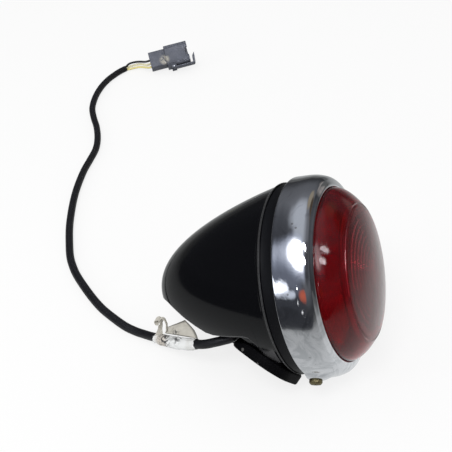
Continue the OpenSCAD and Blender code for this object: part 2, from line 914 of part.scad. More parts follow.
// Bare wires between the sleeve's end and the connector
wire_black_route = [
    [-205.6, 295.4, 4.1], [-203.2, 297.4, 6.1], [-199.7, 298.5, 7.3], [-194.1, 298.6, 8.6], [-188.3, 299, 8.9],
    [-184.9, 300.8, 9.4]
];
wire_cream_route = [
    [-206.3, 295.8, 2.2], [-203.4, 296.8, 3.5], [-199.6, 297.7, 4.9], [-193.5, 298.5, 6.3], [-186.5, 297.3, 7],
    [-183.6, 298.9, 7.5]
];
wire_yellow_route = [[-204.7, 294.9, 1.6], [-200.6, 296.4, 2.4], [-193.6, 297.6, 4], [-184.4, 295.8, 5.3], [-182.3, 297, 5.6]];

module wire_black() {
    color([0.05, 0.05, 0.05])
        tube(smooth(wire_black_route, 2), wire_r);
}

module wire_cream() {
    color([0.88, 0.84, 0.66])
        tube(smooth(wire_cream_route, 2), wire_r);
}

module wire_yellow() {
    color([0.88, 0.8, 0.45])
        tube(smooth(wire_yellow_route, 2), wire_r);
}

// Connector, drawn along +X from the middle of its rear end

connector_at = [-184.1, 299.8, 8.4];
connector_yaw = 28;
connector_tilt = 40;
connector_rise = 8;
rear_size = [14, 15, 8.8];
hood_size = [20, 19, 11];
hood_wall = 1.4;
way_y = [-4.4, -1.4, 1.6];
// Pin of the latch, beside the hood
latch_y = -hood_size.y / 2 - 1.3;
latch_z = 1.2;

module place_connector() {
    translate(connector_at)
        rotate([connector_tilt, -connector_rise, connector_yaw])
            children();
}

// A block along X with its long edges rounded
module soft_block(size, r) {
    rotate([90, 0, 90])
        linear_extrude(height = size.x)
            union() {
                square([size.y - 2 * r, size.z], center = true);
                square([size.y, size.z - 2 * r], center = true);
                for (y = [-1, 1], z = [-1, 1])
                    translate([y * (size.y / 2 - r), z * (size.z / 2 - r)])
                        circle(r = r, $fn = 32);
            }
}

// The three ways through the connector
module ways(r, x0, x1) {
    for (y = way_y)
        translate([0, y, 0])
            bar(r, x0, x1);
}

module connector_seal() {
    color([0.5, 0.32, 0.2])
        place_connector()
            difference() {
                translate([0.1, 0, 0])
                    soft_block([2.4, 12.6, 5], 2.4);
                ways(wire_r + 0.03, -1, 4);
            }
}

module connector_rear() {
    color([0.13, 0.14, 0.17])
        place_connector()
            difference() {
                soft_block(rear_size, 1.2);
                translate([-0.5, 0, 0])
                    soft_block([3, 12.7, 5.1], 2.45);
                ways(1.3, 2, rear_size.x + 1);
            }
}

module connector_hood() {
    color([0.16, 0.17, 0.2])
        place_connector()
            translate([rear_size.x, 0, 0])
                difference() {
                    union() {
                        soft_block(hood_size, 1.6);
                        // Guide rails along the upper face
                        for (y = [-7.2, 7.2])
                            translate([0.8, y - 0.5, hood_size.z / 2 - 0.3])
                                cube([hood_size.x - 2.2, 1, 0.9]);
                        // Lugs that hold the latch's pin
                        for (z = [-4.2, 2.7])
                            translate([3, latch_y - 1.2, latch_z + z])
                                cube([4, 2.9, 1.5]);
                    }
                    // Mouth that the other half plugs into
                    translate([10, 0, 0])
                        soft_block([20, hood_size.y - 2 * hood_wall, hood_size.z - 2 * hood_wall], 1);
                    ways(1.3, -1, 20);
                    // Notch in the mouth's upper edge
                    translate([hood_size.x - 2.6, -3.5, 2])
                        cube([4, 7, 6]);
                    translate([5, latch_y, -6])
                        cylinder(r = 0.6, h = 12, $fn = 32);
                }
}

module connector_terminals() {
    color([0.8, 0.68, 0.35])
        place_connector()
            difference() {
                ways(1.25, 4, rear_size.x + 9.4);
                ways(0.7, rear_size.x + 4, rear_size.x + 12);
            }
}

module latch_pin() {
    color([0.6, 0.6, 0.6])
        place_connector()
            translate([rear_size.x + 5, latch_y, latch_z - 4.15])
                cylinder(r = 0.58, h = 8.3, $fn = 32);
}

module connector_latch() {
    color([0.18, 0.19, 0.22])
        place_connector()
            translate([rear_size.x + 5, latch_y, latch_z - 2.6])
                difference() {
                    union() {
                        cylinder(r = 1.15, h = 5.2, $fn = 48);
                        translate([0, -0.8, 0])
                            cube([16.5, 1.1, 5.2]);
                        // Hook at the tip that reaches in over the end of the other half
                        translate([16.3, -0.8, 0])
                            linear_extrude(height = 5.2)
                                polygon([[-1, 0], [1.8, 0], [2.6, 1.4], [3.4, 9.8], [1.1, 6.6], [0.7, 1.4], [0.4, 1.1], [-1, 1.1]]);
                    }
                    translate([0, 0, -1])
                        cylinder(r = 0.63, h = 8, $fn = 32);
                }
}

shell();
base_plate();
weld_nuts();
fender_pad();
cord_grommet();
earth_screw();
earth_tag();
rim_seal();
rim();
rim_screw();
rim_screw_spacer();
rim_screw_nut();
lens();
lens_seal();
reflector();
reflector_rivets();
bulb_socket();
socket_rivets();
contact_spring();
contact_carrier();
carrier_contacts();
bulb_cap();
bulb_insulator();
bulb_contacts();
bulb_glass();
bulb_stem();
bulb_filaments();
lead_black();
lead_cream();
lead_yellow();
cord_sleeve();
label_band();
label_flag();
label_strip();
wire_black();
wire_cream();
wire_yellow();
connector_seal();
connector_rear();
connector_hood();
connector_terminals();
connector_latch();
latch_pin();
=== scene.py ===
# %% [markdown]
# # A bullet tail light for a motorcycle
# The lamp lies on its side on a pale floor, with its lead laid out beside it. The steel bullet is
# black enamel, its rim is polished chrome, and the lens is deep red plastic over a silvered bowl.
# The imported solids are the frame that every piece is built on, so they are loaded first.

# %% Load the solids
import json
import math

import bmesh
import bpy
from mathutils import Matrix, Vector, noise


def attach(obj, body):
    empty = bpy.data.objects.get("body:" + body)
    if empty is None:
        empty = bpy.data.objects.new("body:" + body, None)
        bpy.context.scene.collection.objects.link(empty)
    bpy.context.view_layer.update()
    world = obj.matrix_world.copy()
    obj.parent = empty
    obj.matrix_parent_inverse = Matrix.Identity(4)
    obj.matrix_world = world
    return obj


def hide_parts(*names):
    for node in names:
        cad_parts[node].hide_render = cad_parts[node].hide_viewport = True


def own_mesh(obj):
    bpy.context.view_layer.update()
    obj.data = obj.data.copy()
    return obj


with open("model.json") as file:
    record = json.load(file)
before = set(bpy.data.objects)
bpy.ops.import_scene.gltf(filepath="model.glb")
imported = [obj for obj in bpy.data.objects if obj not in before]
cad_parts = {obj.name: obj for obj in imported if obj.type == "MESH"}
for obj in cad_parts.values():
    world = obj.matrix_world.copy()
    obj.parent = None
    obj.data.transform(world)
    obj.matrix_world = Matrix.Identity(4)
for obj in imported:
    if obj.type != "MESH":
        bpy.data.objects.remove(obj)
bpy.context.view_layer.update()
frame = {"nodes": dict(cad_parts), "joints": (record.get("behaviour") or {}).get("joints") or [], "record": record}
scene = bpy.context.scene
scene.view_settings.view_transform = "Standard"
MM = 0.001

# %% [markdown]
# The camera comes next, because it decides what has to be good. It was found from the ellipses of
# the rim and the shell, so it sits high on the right of the lamp and looks down past it to the lead.

# %% Camera
camera_at = Vector((0.0953, -0.3595, 0.3566))
camera_looks = Vector((-0.2521, 0.7630, -0.5953)).normalized()
camera_up = Vector((-0.1389, 0.5802, 0.8025))
FOCAL = 71.7

right = camera_looks.cross(camera_up).normalized()
up = right.cross(camera_looks).normalized()
camera_data = bpy.data.cameras.new("camera")
camera_data.lens = FOCAL
camera_data.sensor_width = 36
camera_data.clip_start = 0.01
camera = bpy.data.objects.new("camera", camera_data)
facing = Matrix((right, up, -camera_looks)).transposed().to_4x4()
camera.matrix_world = Matrix.Translation(camera_at) @ facing
scene.collection.objects.link(camera)
scene.camera = camera
print("camera looks down by", round(math.degrees(math.asin(-camera_looks.z)), 1), "degrees")

# %% [markdown]
# Materials, the world and Geometry Nodes are all node trees. A few short calls keep them readable:
# one adds a node and feeds its inputs, whether with a plain value or with another node's output.

# %% Node trees in a few words
class Tree:
    """A node tree with short calls that add nodes and join them."""

    def __init__(self, tree):
        self.nodes = tree.nodes
        self.links = tree.links

    def feed(self, socket, value):
        if isinstance(value, bpy.types.NodeSocket):
            self.links.new(value, socket)
        elif value is not None:
            socket.default_value = value

    def add(self, kind, settings=None, **inputs):
        """Adds a node; an input is named by its title, or by its number after an underscore."""
        made = self.nodes.new(kind)
        for title, value in (settings or {}).items():
            setattr(made, title, value)
        for title, value in inputs.items():
            key = int(title[1:]) if title[0] == "_" else title.replace("_", " ")
            self.feed(made.inputs[key], value)
        return made

    def math(self, operation, a, b=None):
        return self.add("ShaderNodeMath", {"operation": operation}, _0=a, _1=b).outputs[0]

    def times(self, a, b):
        return self.math("MULTIPLY", a, b)

    def dot(self, a, b):
        return self.add("ShaderNodeVectorMath", {"operation": "DOT_PRODUCT"}, _0=a, _1=b).outputs["Value"]

    def distance(self, a, b):
        return self.add("ShaderNodeVectorMath", {"operation": "DISTANCE"}, _0=a, _1=b).outputs["Value"]

    def mix(self, share, a, b):
        return self.add("ShaderNodeMix", {"data_type": "RGBA"}, _0=share, _6=a, _7=b).outputs[2]

    def steps(self, value, low, high, to_low=0.0, to_high=1.0):
        """Goes with soft ends from one result to another as the value goes from low to high."""
        return self.add("ShaderNodeMapRange", {"interpolation_type": "SMOOTHSTEP"}, _0=value,
                        _1=low, _2=high, _3=to_low, _4=to_high).outputs[0]


def shading(owner):
    owner.use_nodes = True
    owner.node_tree.nodes.clear()
    return Tree(owner.node_tree)


# %% [markdown]
# Chrome and black enamel show nothing but what stands round them. In the photograph that is a dim
# room with a tall bright window behind the viewer, a lit doorway to the left, and a pale board
# under the lamp. Each bright place is a soft patch at its own bearing in the world, so it can be
# moved by two angles. The camera sees plain white, and only gloss sees the room.

# %% The room that gloss reflects
def bearing(azimuth, elevation):
    a, e = math.radians(azimuth), math.radians(elevation)
    return Vector((math.cos(e) * math.cos(a), math.cos(e) * math.sin(a), math.sin(e)))


def patch(tree, direction, azimuth, elevation, wide, high, lean, soft, power):
    """A mask that is 1 inside a soft oval, or a soft rectangle for a higher power. Its half width
    and half height are angles, and it leans to the right by an angle."""
    middle = bearing(azimuth, elevation)
    side = Matrix.Rotation(math.radians(lean), 3, middle) @ bearing(azimuth + 90, 0)
    ahead = tree.math("MAXIMUM", tree.dot(direction, middle), 0.001)

    def reach(axis, half):
        slope = tree.math("DIVIDE", tree.dot(direction, axis / math.tan(math.radians(half))), ahead)
        return tree.math("POWER", tree.math("ABSOLUTE", slope), power)

    from_middle = tree.math("ADD", reach(side, wide), reach(middle.cross(side), high))
    return tree.steps(from_middle, 1 - soft, 1 + soft, 1.0, 0.0)


ROOM_PATCHES = [
    # azimuth, elevation, half width, half height, lean, softness, power, colour
    (-150, 20, 75, 50, 0, 0.9, 2, (0.050, 0.053, 0.062)),
    (113, 69, 21, 20, 0, 1.0, 2, (0.48, 0.51, 0.56)),
    (66, 5, 9, 7, 0, 0.8, 2, (0.34, 0.315, 0.30)),
    (67, 40, 11, 14, 0, 0.6, 2, (0.30, 0.26, 0.20)),
    (46, 30, 12, 10, 0, 0.6, 2, (0.083, 0.063, 0.046)),
    (-14, 36, 22, 13, 0, 0.6, 2, (0.07, 0.072, 0.08)),
    (-118, 32, 32, 14, 0, 0.9, 2, (0.16, 0.175, 0.22)),
    (-96, 60, 37, 22, 0, 1.0, 2, (0.40, 0.44, 0.54)),
    (-97, 61, 31, 18, 0, 1.0, 2, (0.9, 0.95, 1.08)),
    (-97, 62, 25, 14.5, 0, 0.8, 2.2, (3.2, 3.25, 3.4)),
    (-17, 60, 16, 2.8, -54, 0.5, 2.5, (12.0, 12.0, 12.5)),
    (-43, 54, 15, 3.4, -28, 0.5, 2.5, (12.0, 12.0, 12.5)),
    (-127, 16, 12, 7, 0, 0.8, 2, (2.0, 2.1, 2.3)),
    (-108, 14, 9, 4, 25, 1.0, 2, (0.7, 0.75, 0.85)),
    (-75, 20, 10, 6, 0, 1.0, 2, (0.55, 0.13, 0.08)),
    (-92, 26, 1.0, 1.0, 0, 0.4, 2, (14.0, 14.0, 14.0)),
    (-93, 10, 1.0, 1.0, 0, 0.4, 2, (4.0, 4.0, 4.0)),
    (-82, 1.2, 1.2, 0.8, 0, 0.4, 2, (4.0, 4.0, 4.0)),
]
world = bpy.data.worlds.new("room")
scene.world = world
tree = shading(world)
direction = tree.add("ShaderNodeTexCoord").outputs["Generated"]
height = tree.add("ShaderNodeSeparateXYZ", _0=direction).outputs["Z"]
walls = tree.add("ShaderNodeValToRGB", Fac=height)
ramp = walls.color_ramp
ramp.elements[0].position, ramp.elements[0].color = 0.0, (0.045, 0.046, 0.05, 1)
ramp.elements[1].position, ramp.elements[1].color = 1.0, (0.48, 0.51, 0.56, 1)
for place, grey in ((0.10, 0.05), (0.33, 0.12), (0.55, 0.14), (0.8, 0.21)):
    ramp.elements.new(place).color = (grey * 0.96, grey, grey * 1.1, 1)
room_color = walls.outputs["Color"]
for azimuth, elevation, wide, high, lean, soft, power, color in ROOM_PATCHES:
    mask = patch(tree, direction, azimuth, elevation, wide, high, lean, soft, power)
    room_color = tree.mix(mask, room_color, (*color, 1))
rays = tree.add("ShaderNodeLightPath").outputs
room = tree.add("ShaderNodeBackground", Color=room_color).outputs[0]
soft_light = tree.add("ShaderNodeBackground", Color=(1, 1, 1, 1), Strength=0.72).outputs[0]
white = tree.add("ShaderNodeBackground", Color=(1, 1, 1, 1), Strength=1.0).outputs[0]
by_gloss = tree.add("ShaderNodeMixShader", _0=rays["Is Glossy Ray"], _1=soft_light, _2=room).outputs[0]
seen = tree.math("MAXIMUM", rays["Is Camera Ray"], tree.times(rays["Is Transmission Ray"], 0.9))
by_camera = tree.add("ShaderNodeMixShader", _0=seen, _1=by_gloss, _2=white).outputs[0]
tree.add("ShaderNodeOutputWorld", Surface=by_camera)
print("bright and dark patches in the room:", len(ROOM_PATCHES))

# %% [markdown]
# The floor is a diffuse white plane, so that it catches the lamp's shadow. Camera and transmission
# rays see most of it as plain white paper instead. Gloss sees the photograph's pale board as a glow
# with painted light: from its brightest place it turns grey further off, and it ends a hand's width
# from the lamp, and the chrome shows that edge.

# %% Floor
BOARD_EDGE, BOARD_NORMAL = Vector((-0.03, -0.165, 0)), Vector((0.452, 0.892, 0))
BRIGHTEST = Vector((0.07, 0.06, 0))
# The painted light that gloss finds on the board: a grey for each distance in metres from its brightest place.
BOARD_PAINTED_LIGHT = ((0.02, 0.95), (0.09, 0.80), (0.17, 0.46), (0.30, 0.42), (0.60, 0.12))
floor_material = bpy.data.materials.new("pale_floor")
tree = shading(floor_material)
place = tree.add("ShaderNodeTexCoord").outputs["Object"]
past_edge = tree.math("SUBTRACT", tree.dot(place, BOARD_NORMAL), BOARD_EDGE.dot(BOARD_NORMAL))
board = tree.steps(past_edge, -0.004, 0.004)
painted_board_light = tree.add("ShaderNodeValToRGB", Fac=tree.distance(place, BRIGHTEST))
painted_board_light.color_ramp.interpolation = "B_SPLINE"
for k, (distance, grey) in enumerate(BOARD_PAINTED_LIGHT):
    element = painted_board_light.color_ramp.elements[k] if k < 2 else painted_board_light.color_ramp.elements.new(distance)
    element.position, element.color = distance, (grey * 0.98, grey, grey, 1)
rays = tree.add("ShaderNodeLightPath").outputs
by_gloss = tree.mix(board, (0.035, 0.037, 0.043, 1), painted_board_light.outputs["Color"])
shown = tree.mix(rays["Is Glossy Ray"], (1, 1, 1, 1), by_gloss)
glow = tree.add("ShaderNodeEmission", Color=shown, Strength=1.0).outputs[0]
diffuse = tree.add("ShaderNodeBsdfDiffuse", Color=(0.86, 0.86, 0.86, 1)).outputs[0]
straight = tree.math("MAXIMUM", rays["Is Camera Ray"], rays["Is Transmission Ray"])
glowing = tree.math("ADD", tree.times(straight, 0.8), rays["Is Glossy Ray"])
surface = tree.add("ShaderNodeMixShader", _0=glowing, _1=diffuse, _2=glow).outputs[0]
tree.add("ShaderNodeOutputMaterial", Surface=surface)

bpy.ops.mesh.primitive_plane_add(size=8, location=(0, 0, -0.0001))
floor = bpy.context.active_object
floor.name = "floor"
floor.data.materials.append(floor_material)
print("the board ends at, in metres:", [round(v, 3) for v in BOARD_EDGE])

# %% [markdown]
# Two soft boxes light all that isn't glossy: the window, high behind the viewer, and the doorway on
# the left. Gloss doesn't see them, since the patches of the room stand for them there.

# %% Lamps
def soft_box(name, place, target, size, power):
    data = bpy.data.lights.new(name, "AREA")
    data.shape = "RECTANGLE"
    data.size, data.size_y = size
    data.energy = power
    lamp = bpy.data.objects.new(name, data)
    lamp.location = place
    lamp.rotation_mode = "QUATERNION"
    lamp.rotation_quaternion = (Vector(target) - Vector(place)).to_track_quat("-Z", "Y")
    lamp.visible_glossy = False
    scene.collection.objects.link(lamp)


soft_box("window", (-0.05, -0.75, 1.15), (0, 0, 0.05), (0.6, 0.4), 8)
soft_box("doorway", (-0.9, -0.8, 0.5), (0, 0, 0.05), (0.3, 0.4), 2)
print("lamps:", len(bpy.data.lights))

# %% [markdown]
# Everything on the lamp is drawn about the lamp's own axis, which the bulb turns on. The frame
# gives that axis and the lamp's origin, and the foot's mounting face gives which way is down.

# %% Lamp axes
joints = {joint["name"]: joint for joint in frame["joints"]}
mounts = {mount["name"]: mount for mount in frame["record"]["mounts"]}
lamp_at = Vector(joints["bulb_twist"]["pos_m"])
lamp_x = -Vector(joints["bulb_twist"]["axis"]).normalized()
inwards = -Vector(mounts["fender_face"]["axis"])
lamp_z = (inwards - inwards.dot(lamp_x) * lamp_x).normalized()
lamp_y = lamp_z.cross(lamp_x)
LAMP = Matrix.Translation(lamp_at) @ Matrix((lamp_x, lamp_y, lamp_z)).transposed().to_4x4()
# What is turned or wound is drawn about Z, and this brings its Z to the lamp's X.
TURNED = LAMP @ Matrix(((0, 0, 1, 0), (1, 0, 0, 0), (0, 1, 0, 0), (0, 0, 0, 1)))
FOOT_ANGLE, FOOT_DROP = 36, 51
FOOT = LAMP @ Matrix.Rotation(math.radians(FOOT_ANGLE), 4, "Y") @ Matrix.Translation((0, 0, -FOOT_DROP * MM))
print("lens end raised by", round(math.degrees(math.asin(lamp_x.z)), 1), "degrees")

# %% [markdown]
# A piece is a mesh with a finish that rides on a body of the lamp and stands for its solids. Edges
# stay crisp only where two faces really meet at an angle, so turned and pressed skins look smooth.

# %% Mesh helpers
def new_piece(name, mesh):
    piece = bpy.data.objects.new(name, mesh)
    scene.collection.objects.link(piece)
    return piece


def put(name, mesh, finish, body, *replaced):
    """Links a finished mesh as a piece that rides on a body and stands for CAD nodes."""
    piece = new_piece(name, mesh)
    mesh.materials.clear()
    mesh.materials.append(finish.material)
    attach(piece, body)
    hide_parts(*replaced)
    print("made", name, "on", body, "with", len(mesh.vertices), "points")
    return piece


def opened(mesh):
    bm = bmesh.new()
    bm.from_mesh(mesh)
    return bm


def written(bm, mesh):
    """Writes an edited mesh back, or to a new one where only a name is given."""
    if isinstance(mesh, str):
        mesh = bpy.data.meshes.new(mesh)
    bm.to_mesh(mesh)
    bm.free()
    return mesh


def smooth_by_angle(mesh, degrees=35):
    bm = opened(mesh)
    bmesh.ops.recalc_face_normals(bm, faces=bm.faces)
    for face in bm.faces:
        face.smooth = True
    for edge in bm.edges:
        edge.smooth = len(edge.link_faces) == 2 and edge.calc_face_angle(0) < math.radians(degrees)
    written(bm, mesh)


def skin_rows(bm, rows, closed=False):
    """Fills the space between rows of points with quads; closed rows run round to their start."""
    for a, b in zip(rows, rows[1:]):
        for k in range(len(a) if closed else len(a) - 1):
            n = (k + 1) % len(a)
            bm.faces.new([a[k], a[n], b[n], b[k]])


def evaluated_mesh(piece):
    """The plain mesh that a piece's modifiers give; the piece itself is thrown away."""
    bpy.context.view_layer.update()
    mesh = bpy.data.meshes.new_from_object(piece.evaluated_get(bpy.context.evaluated_depsgraph_get()))
    piece.modifiers.clear()
    bpy.data.objects.remove(piece)
    return mesh


def shaped(mesh, *modifiers):
    """Runs modifiers on a mesh and gives the result as a plain mesh."""
    piece = new_piece("shaping", mesh)
    for kind, settings in modifiers:
        modifier = piece.modifiers.new(kind, kind)
        for title, value in settings.items():
            setattr(modifier, title, value)
    return evaluated_mesh(piece)


def in_metres(points):
    return [Vector(p) * MM for p in points]


def curve_through(points, steps):
    """Smooth points through a few, as many as asked for each stretch."""
    points = [Vector(p) for p in points]
    result = []
    for i in range(len(points) - 1):
        a, b, c, d = points[max(i - 1, 0)], points[i], points[i + 1], points[min(i + 2, len(points) - 1)]
        for k in range(steps):
            t = k / steps
            result.append(0.5 * (2 * b + (c - a) * t + (2 * a - 5 * b + 4 * c - d) * t * t
                                 + (3 * b - a - 3 * c + d) * t ** 3))
    return result + [points[-1]]


def heading(path, i):
    return (path[min(i + 1, len(path) - 1)] - path[max(i - 1, 0)]).normalized()


def copy_of_solid(name, bevel=0.0):
    """The CAD node's own mesh, its loose triangles joined, with its real edges a little rounded."""
    mesh = frame["nodes"][name].data.copy()
    bm = opened(mesh)
    bmesh.ops.remove_doubles(bm, verts=bm.verts, dist=1e-6)
    bmesh.ops.dissolve_degenerate(bm, edges=bm.edges, dist=1e-7)
    bmesh.ops.dissolve_limit(bm, angle_limit=math.radians(0.5), verts=bm.verts, edges=bm.edges)
    written(bm, mesh)
    if bevel:
        sharp = {"limit_method": "ANGLE", "angle_limit": math.radians(35)}
        mesh = shaped(mesh, ("BEVEL", {"width": bevel * MM, "segments": 2, **sharp}))
    smooth_by_angle(mesh, 32)
    return mesh


# %% [markdown]
# ## Node trees that build shapes
# Most pieces of a lamp are turned or spun on a lathe, wound on a mandrel, or repeated round a
# circle. Three Geometry Nodes trees follow those rules, each with named inputs for its sizes. A
# tree could stay live on its object, but the result is taken as a plain mesh, which exports safely.

# %% A frame for geometry trees
def shape_tree(name, inputs, build):
    """A tree whose inputs are given as {title: default}; it ends in real geometry with a material."""
    group = bpy.data.node_groups.new(name, "GeometryNodeTree")
    group.interface.new_socket("Geometry", in_out="INPUT", socket_type="NodeSocketGeometry")
    for title, value in inputs.items():
        kind = "NodeSocketInt" if isinstance(value, int) else "NodeSocketFloat"
        group.interface.new_socket(title, in_out="INPUT", socket_type=kind).default_value = value
    group.interface.new_socket("Material", in_out="INPUT", socket_type="NodeSocketMaterial")
    group.interface.new_socket("Geometry", in_out="OUTPUT", socket_type="NodeSocketGeometry")
    tree = Tree(group)
    enter = tree.add("NodeGroupInput").outputs
    real = tree.add("GeometryNodeRealizeInstances", Geometry=build(tree, enter)).outputs[0]
    named = tree.add("GeometryNodeSetMaterial", Geometry=real, Material=enter["Material"]).outputs[0]
    tree.add("NodeGroupOutput", Geometry=named)
    return group


def grown(name, group, finish, start=None, matrix=TURNED, **inputs):
    """Runs a tree on a start mesh with its inputs set, and gives the result as a plain mesh."""
    piece = new_piece(name, start or bpy.data.meshes.new(name))
    modifier = piece.modifiers.new("tree", "NODES")
    modifier.node_group = group
    values = {title.replace("_", " "): value for title, value in inputs.items()}
    values["Material"] = finish.material
    for item in group.interface.items_tree:
        if item.item_type == "SOCKET" and item.in_out == "INPUT" and item.name in values:
            modifier[item.identifier] = values[item.name]
    mesh = evaluated_mesh(piece)
    mesh.transform(matrix)
    smooth_by_angle(mesh)
    return mesh


# %% Turned pieces: an outline carried round a circle
def build_turned(tree, enter):
    outline = tree.add("GeometryNodeMeshToCurve", Mesh=enter["Geometry"]).outputs[0]
    circle = tree.add("GeometryNodeCurvePrimitiveCircle", Resolution=enter["Steps"],
                      Radius=enter["Path Radius"]).outputs[0]
    circle = tree.add("GeometryNodeSetCurveNormal", {"mode": "Z_UP"}, Curve=circle).outputs[0]
    skin = tree.add("GeometryNodeCurveToMesh", Curve=circle, Profile_Curve=outline).outputs[0]
    return tree.add("GeometryNodeMergeByDistance", Geometry=skin, Distance=1e-7).outputs[0]


TURN = shape_tree("turned piece", {"Steps": 192, "Path Radius": 0.03}, build_turned)


def turned(name, outline, finish, steps=192, matrix=TURNED):
    """Turns an outline of [radius, place along the axis] in millimetres; one that starts and ends
    on the axis stays open there, and any other is a closed loop."""
    path_r = 30 * MM
    mesh = bpy.data.meshes.new(name + "_outline")
    points = [(r * MM - path_r, -x * MM, 0) for r, x in outline]
    edges = [(i, i + 1) for i in range(len(points) - 1)]
    if outline[0][0] > 0 or outline[-1][0] > 0:
        edges.append((len(points) - 1, 0))
    mesh.from_pydata(points, edges, [])
    return grown(name, TURN, finish, mesh, matrix, Steps=steps, Path_Radius=path_r)


# %% Wound pieces: springs and filaments
def build_coil(tree, enter):
    path = tree.add("GeometryNodeCurveSpiral", Resolution=enter["Steps"], Rotations=enter["Turns"],
                    Height=enter["Height"], Start_Radius=enter["Radius"],
                    End_Radius=enter["Radius"]).outputs[0]
    wire = tree.add("GeometryNodeCurvePrimitiveCircle", Resolution=enter["Sides"],
                    Radius=enter["Wire Radius"]).outputs[0]
    return tree.add("GeometryNodeCurveToMesh", Curve=path, Profile_Curve=wire, Fill_Caps=True).outputs[0]


COIL = shape_tree("coil", {"Steps": 32, "Turns": 4.0, "Height": 0.007, "Radius": 0.006,
                           "Wire Radius": 0.0004, "Sides": 10}, build_coil)


# %% Repeated pieces: rivets round a circle
def build_ring_of(tree, enter):
    number = tree.add("GeometryNodeInputIndex").outputs[0]
    step = tree.math("DIVIDE", math.tau, enter["Count"])
    angle = tree.math("ADD", tree.times(number, step), enter["Start Angle"])
    x = tree.times(tree.math("COSINE", angle), enter["Circle Radius"])
    y = tree.times(tree.math("SINE", angle), enter["Circle Radius"])
    place = tree.add("ShaderNodeCombineXYZ", X=x, Y=y).outputs[0]
    points = tree.add("GeometryNodePoints", Count=enter["Count"], Position=place).outputs[0]
    return tree.add("GeometryNodeInstanceOnPoints", Points=points, Instance=enter["Geometry"]).outputs[0]


RING_OF = shape_tree("ring of pieces", {"Count": 3, "Circle Radius": 0.011, "Start Angle": 0.5},
                     build_ring_of)
print("geometry trees:", [group.name for group in (TURN, COIL, RING_OF)])

# %% [markdown]
# ## Finishes
# Several finishes share the same small faults: fine scratches, dust specks and cloudy patches.
# Each is a node group with its own inputs, built once, that gives a mask to the materials.

# %% Shared effects
def effect(name, inputs, build):
    """A shader node group with named inputs that gives one mask."""
    group = bpy.data.node_groups.new(name, "ShaderNodeTree")
    group.interface.new_socket("Vector", in_out="INPUT", socket_type="NodeSocketVector")
    for title, value in inputs.items():
        socket = group.interface.new_socket(title, in_out="INPUT", socket_type="NodeSocketFloat")
        socket.default_value = value
    group.interface.new_socket("Mask", in_out="OUTPUT", socket_type="NodeSocketFloat")
    tree = Tree(group)
    enter = tree.add("NodeGroupInput").outputs
    tree.add("NodeGroupOutput", Mask=build(tree, enter))
    return group


def build_specks(tree, enter):
    cells = tree.add("ShaderNodeTexVoronoi", {"feature": "F1"}, Vector=enter["Vector"],
                     Scale=enter["Scale"]).outputs
    small = tree.math("LESS_THAN", cells["Distance"], enter["Size"])
    few = tree.math("LESS_THAN", cells["Color"], enter["Amount"])
    return tree.times(small, few)


def build_clouds(tree, enter):
    cloud = tree.add("ShaderNodeTexNoise", Detail=6.0, Roughness=0.6, Vector=enter["Vector"],
                     Scale=enter["Scale"], Distortion=enter["Distortion"]).outputs["Fac"]
    return tree.steps(cloud, enter["Low"], enter["High"])


def build_scratches(tree, enter):
    stretched = tree.add("ShaderNodeMapping", Vector=enter["Vector"], Scale=(0.06, 1, 1)).outputs[0]
    lines = tree.add("ShaderNodeTexNoise", Detail=4.0, Roughness=0.7, Vector=stretched,
                     Scale=enter["Scale"]).outputs["Fac"]
    return tree.times(tree.steps(lines, 0.62, 0.72), enter["Amount"])


SPECKS = effect("dust specks", {"Scale": 300.0, "Size": 0.15, "Amount": 0.3}, build_specks)
CLOUDS = effect("cloudy patches", {"Scale": 40.0, "Distortion": 0.5, "Low": 0.45, "High": 0.65},
                build_clouds)
SCRATCHES = effect("fine scratches", {"Scale": 900.0, "Amount": 1.0}, build_scratches)
print("shared effects:", [group.name for group in (SPECKS, CLOUDS, SCRATCHES)])

# %% [markdown]
# A finish is one Principled material. Its plain values stay on the shader's own sockets, and each
# effect is laid over the last one by a mask, so that a finish reads as a short list of its faults.

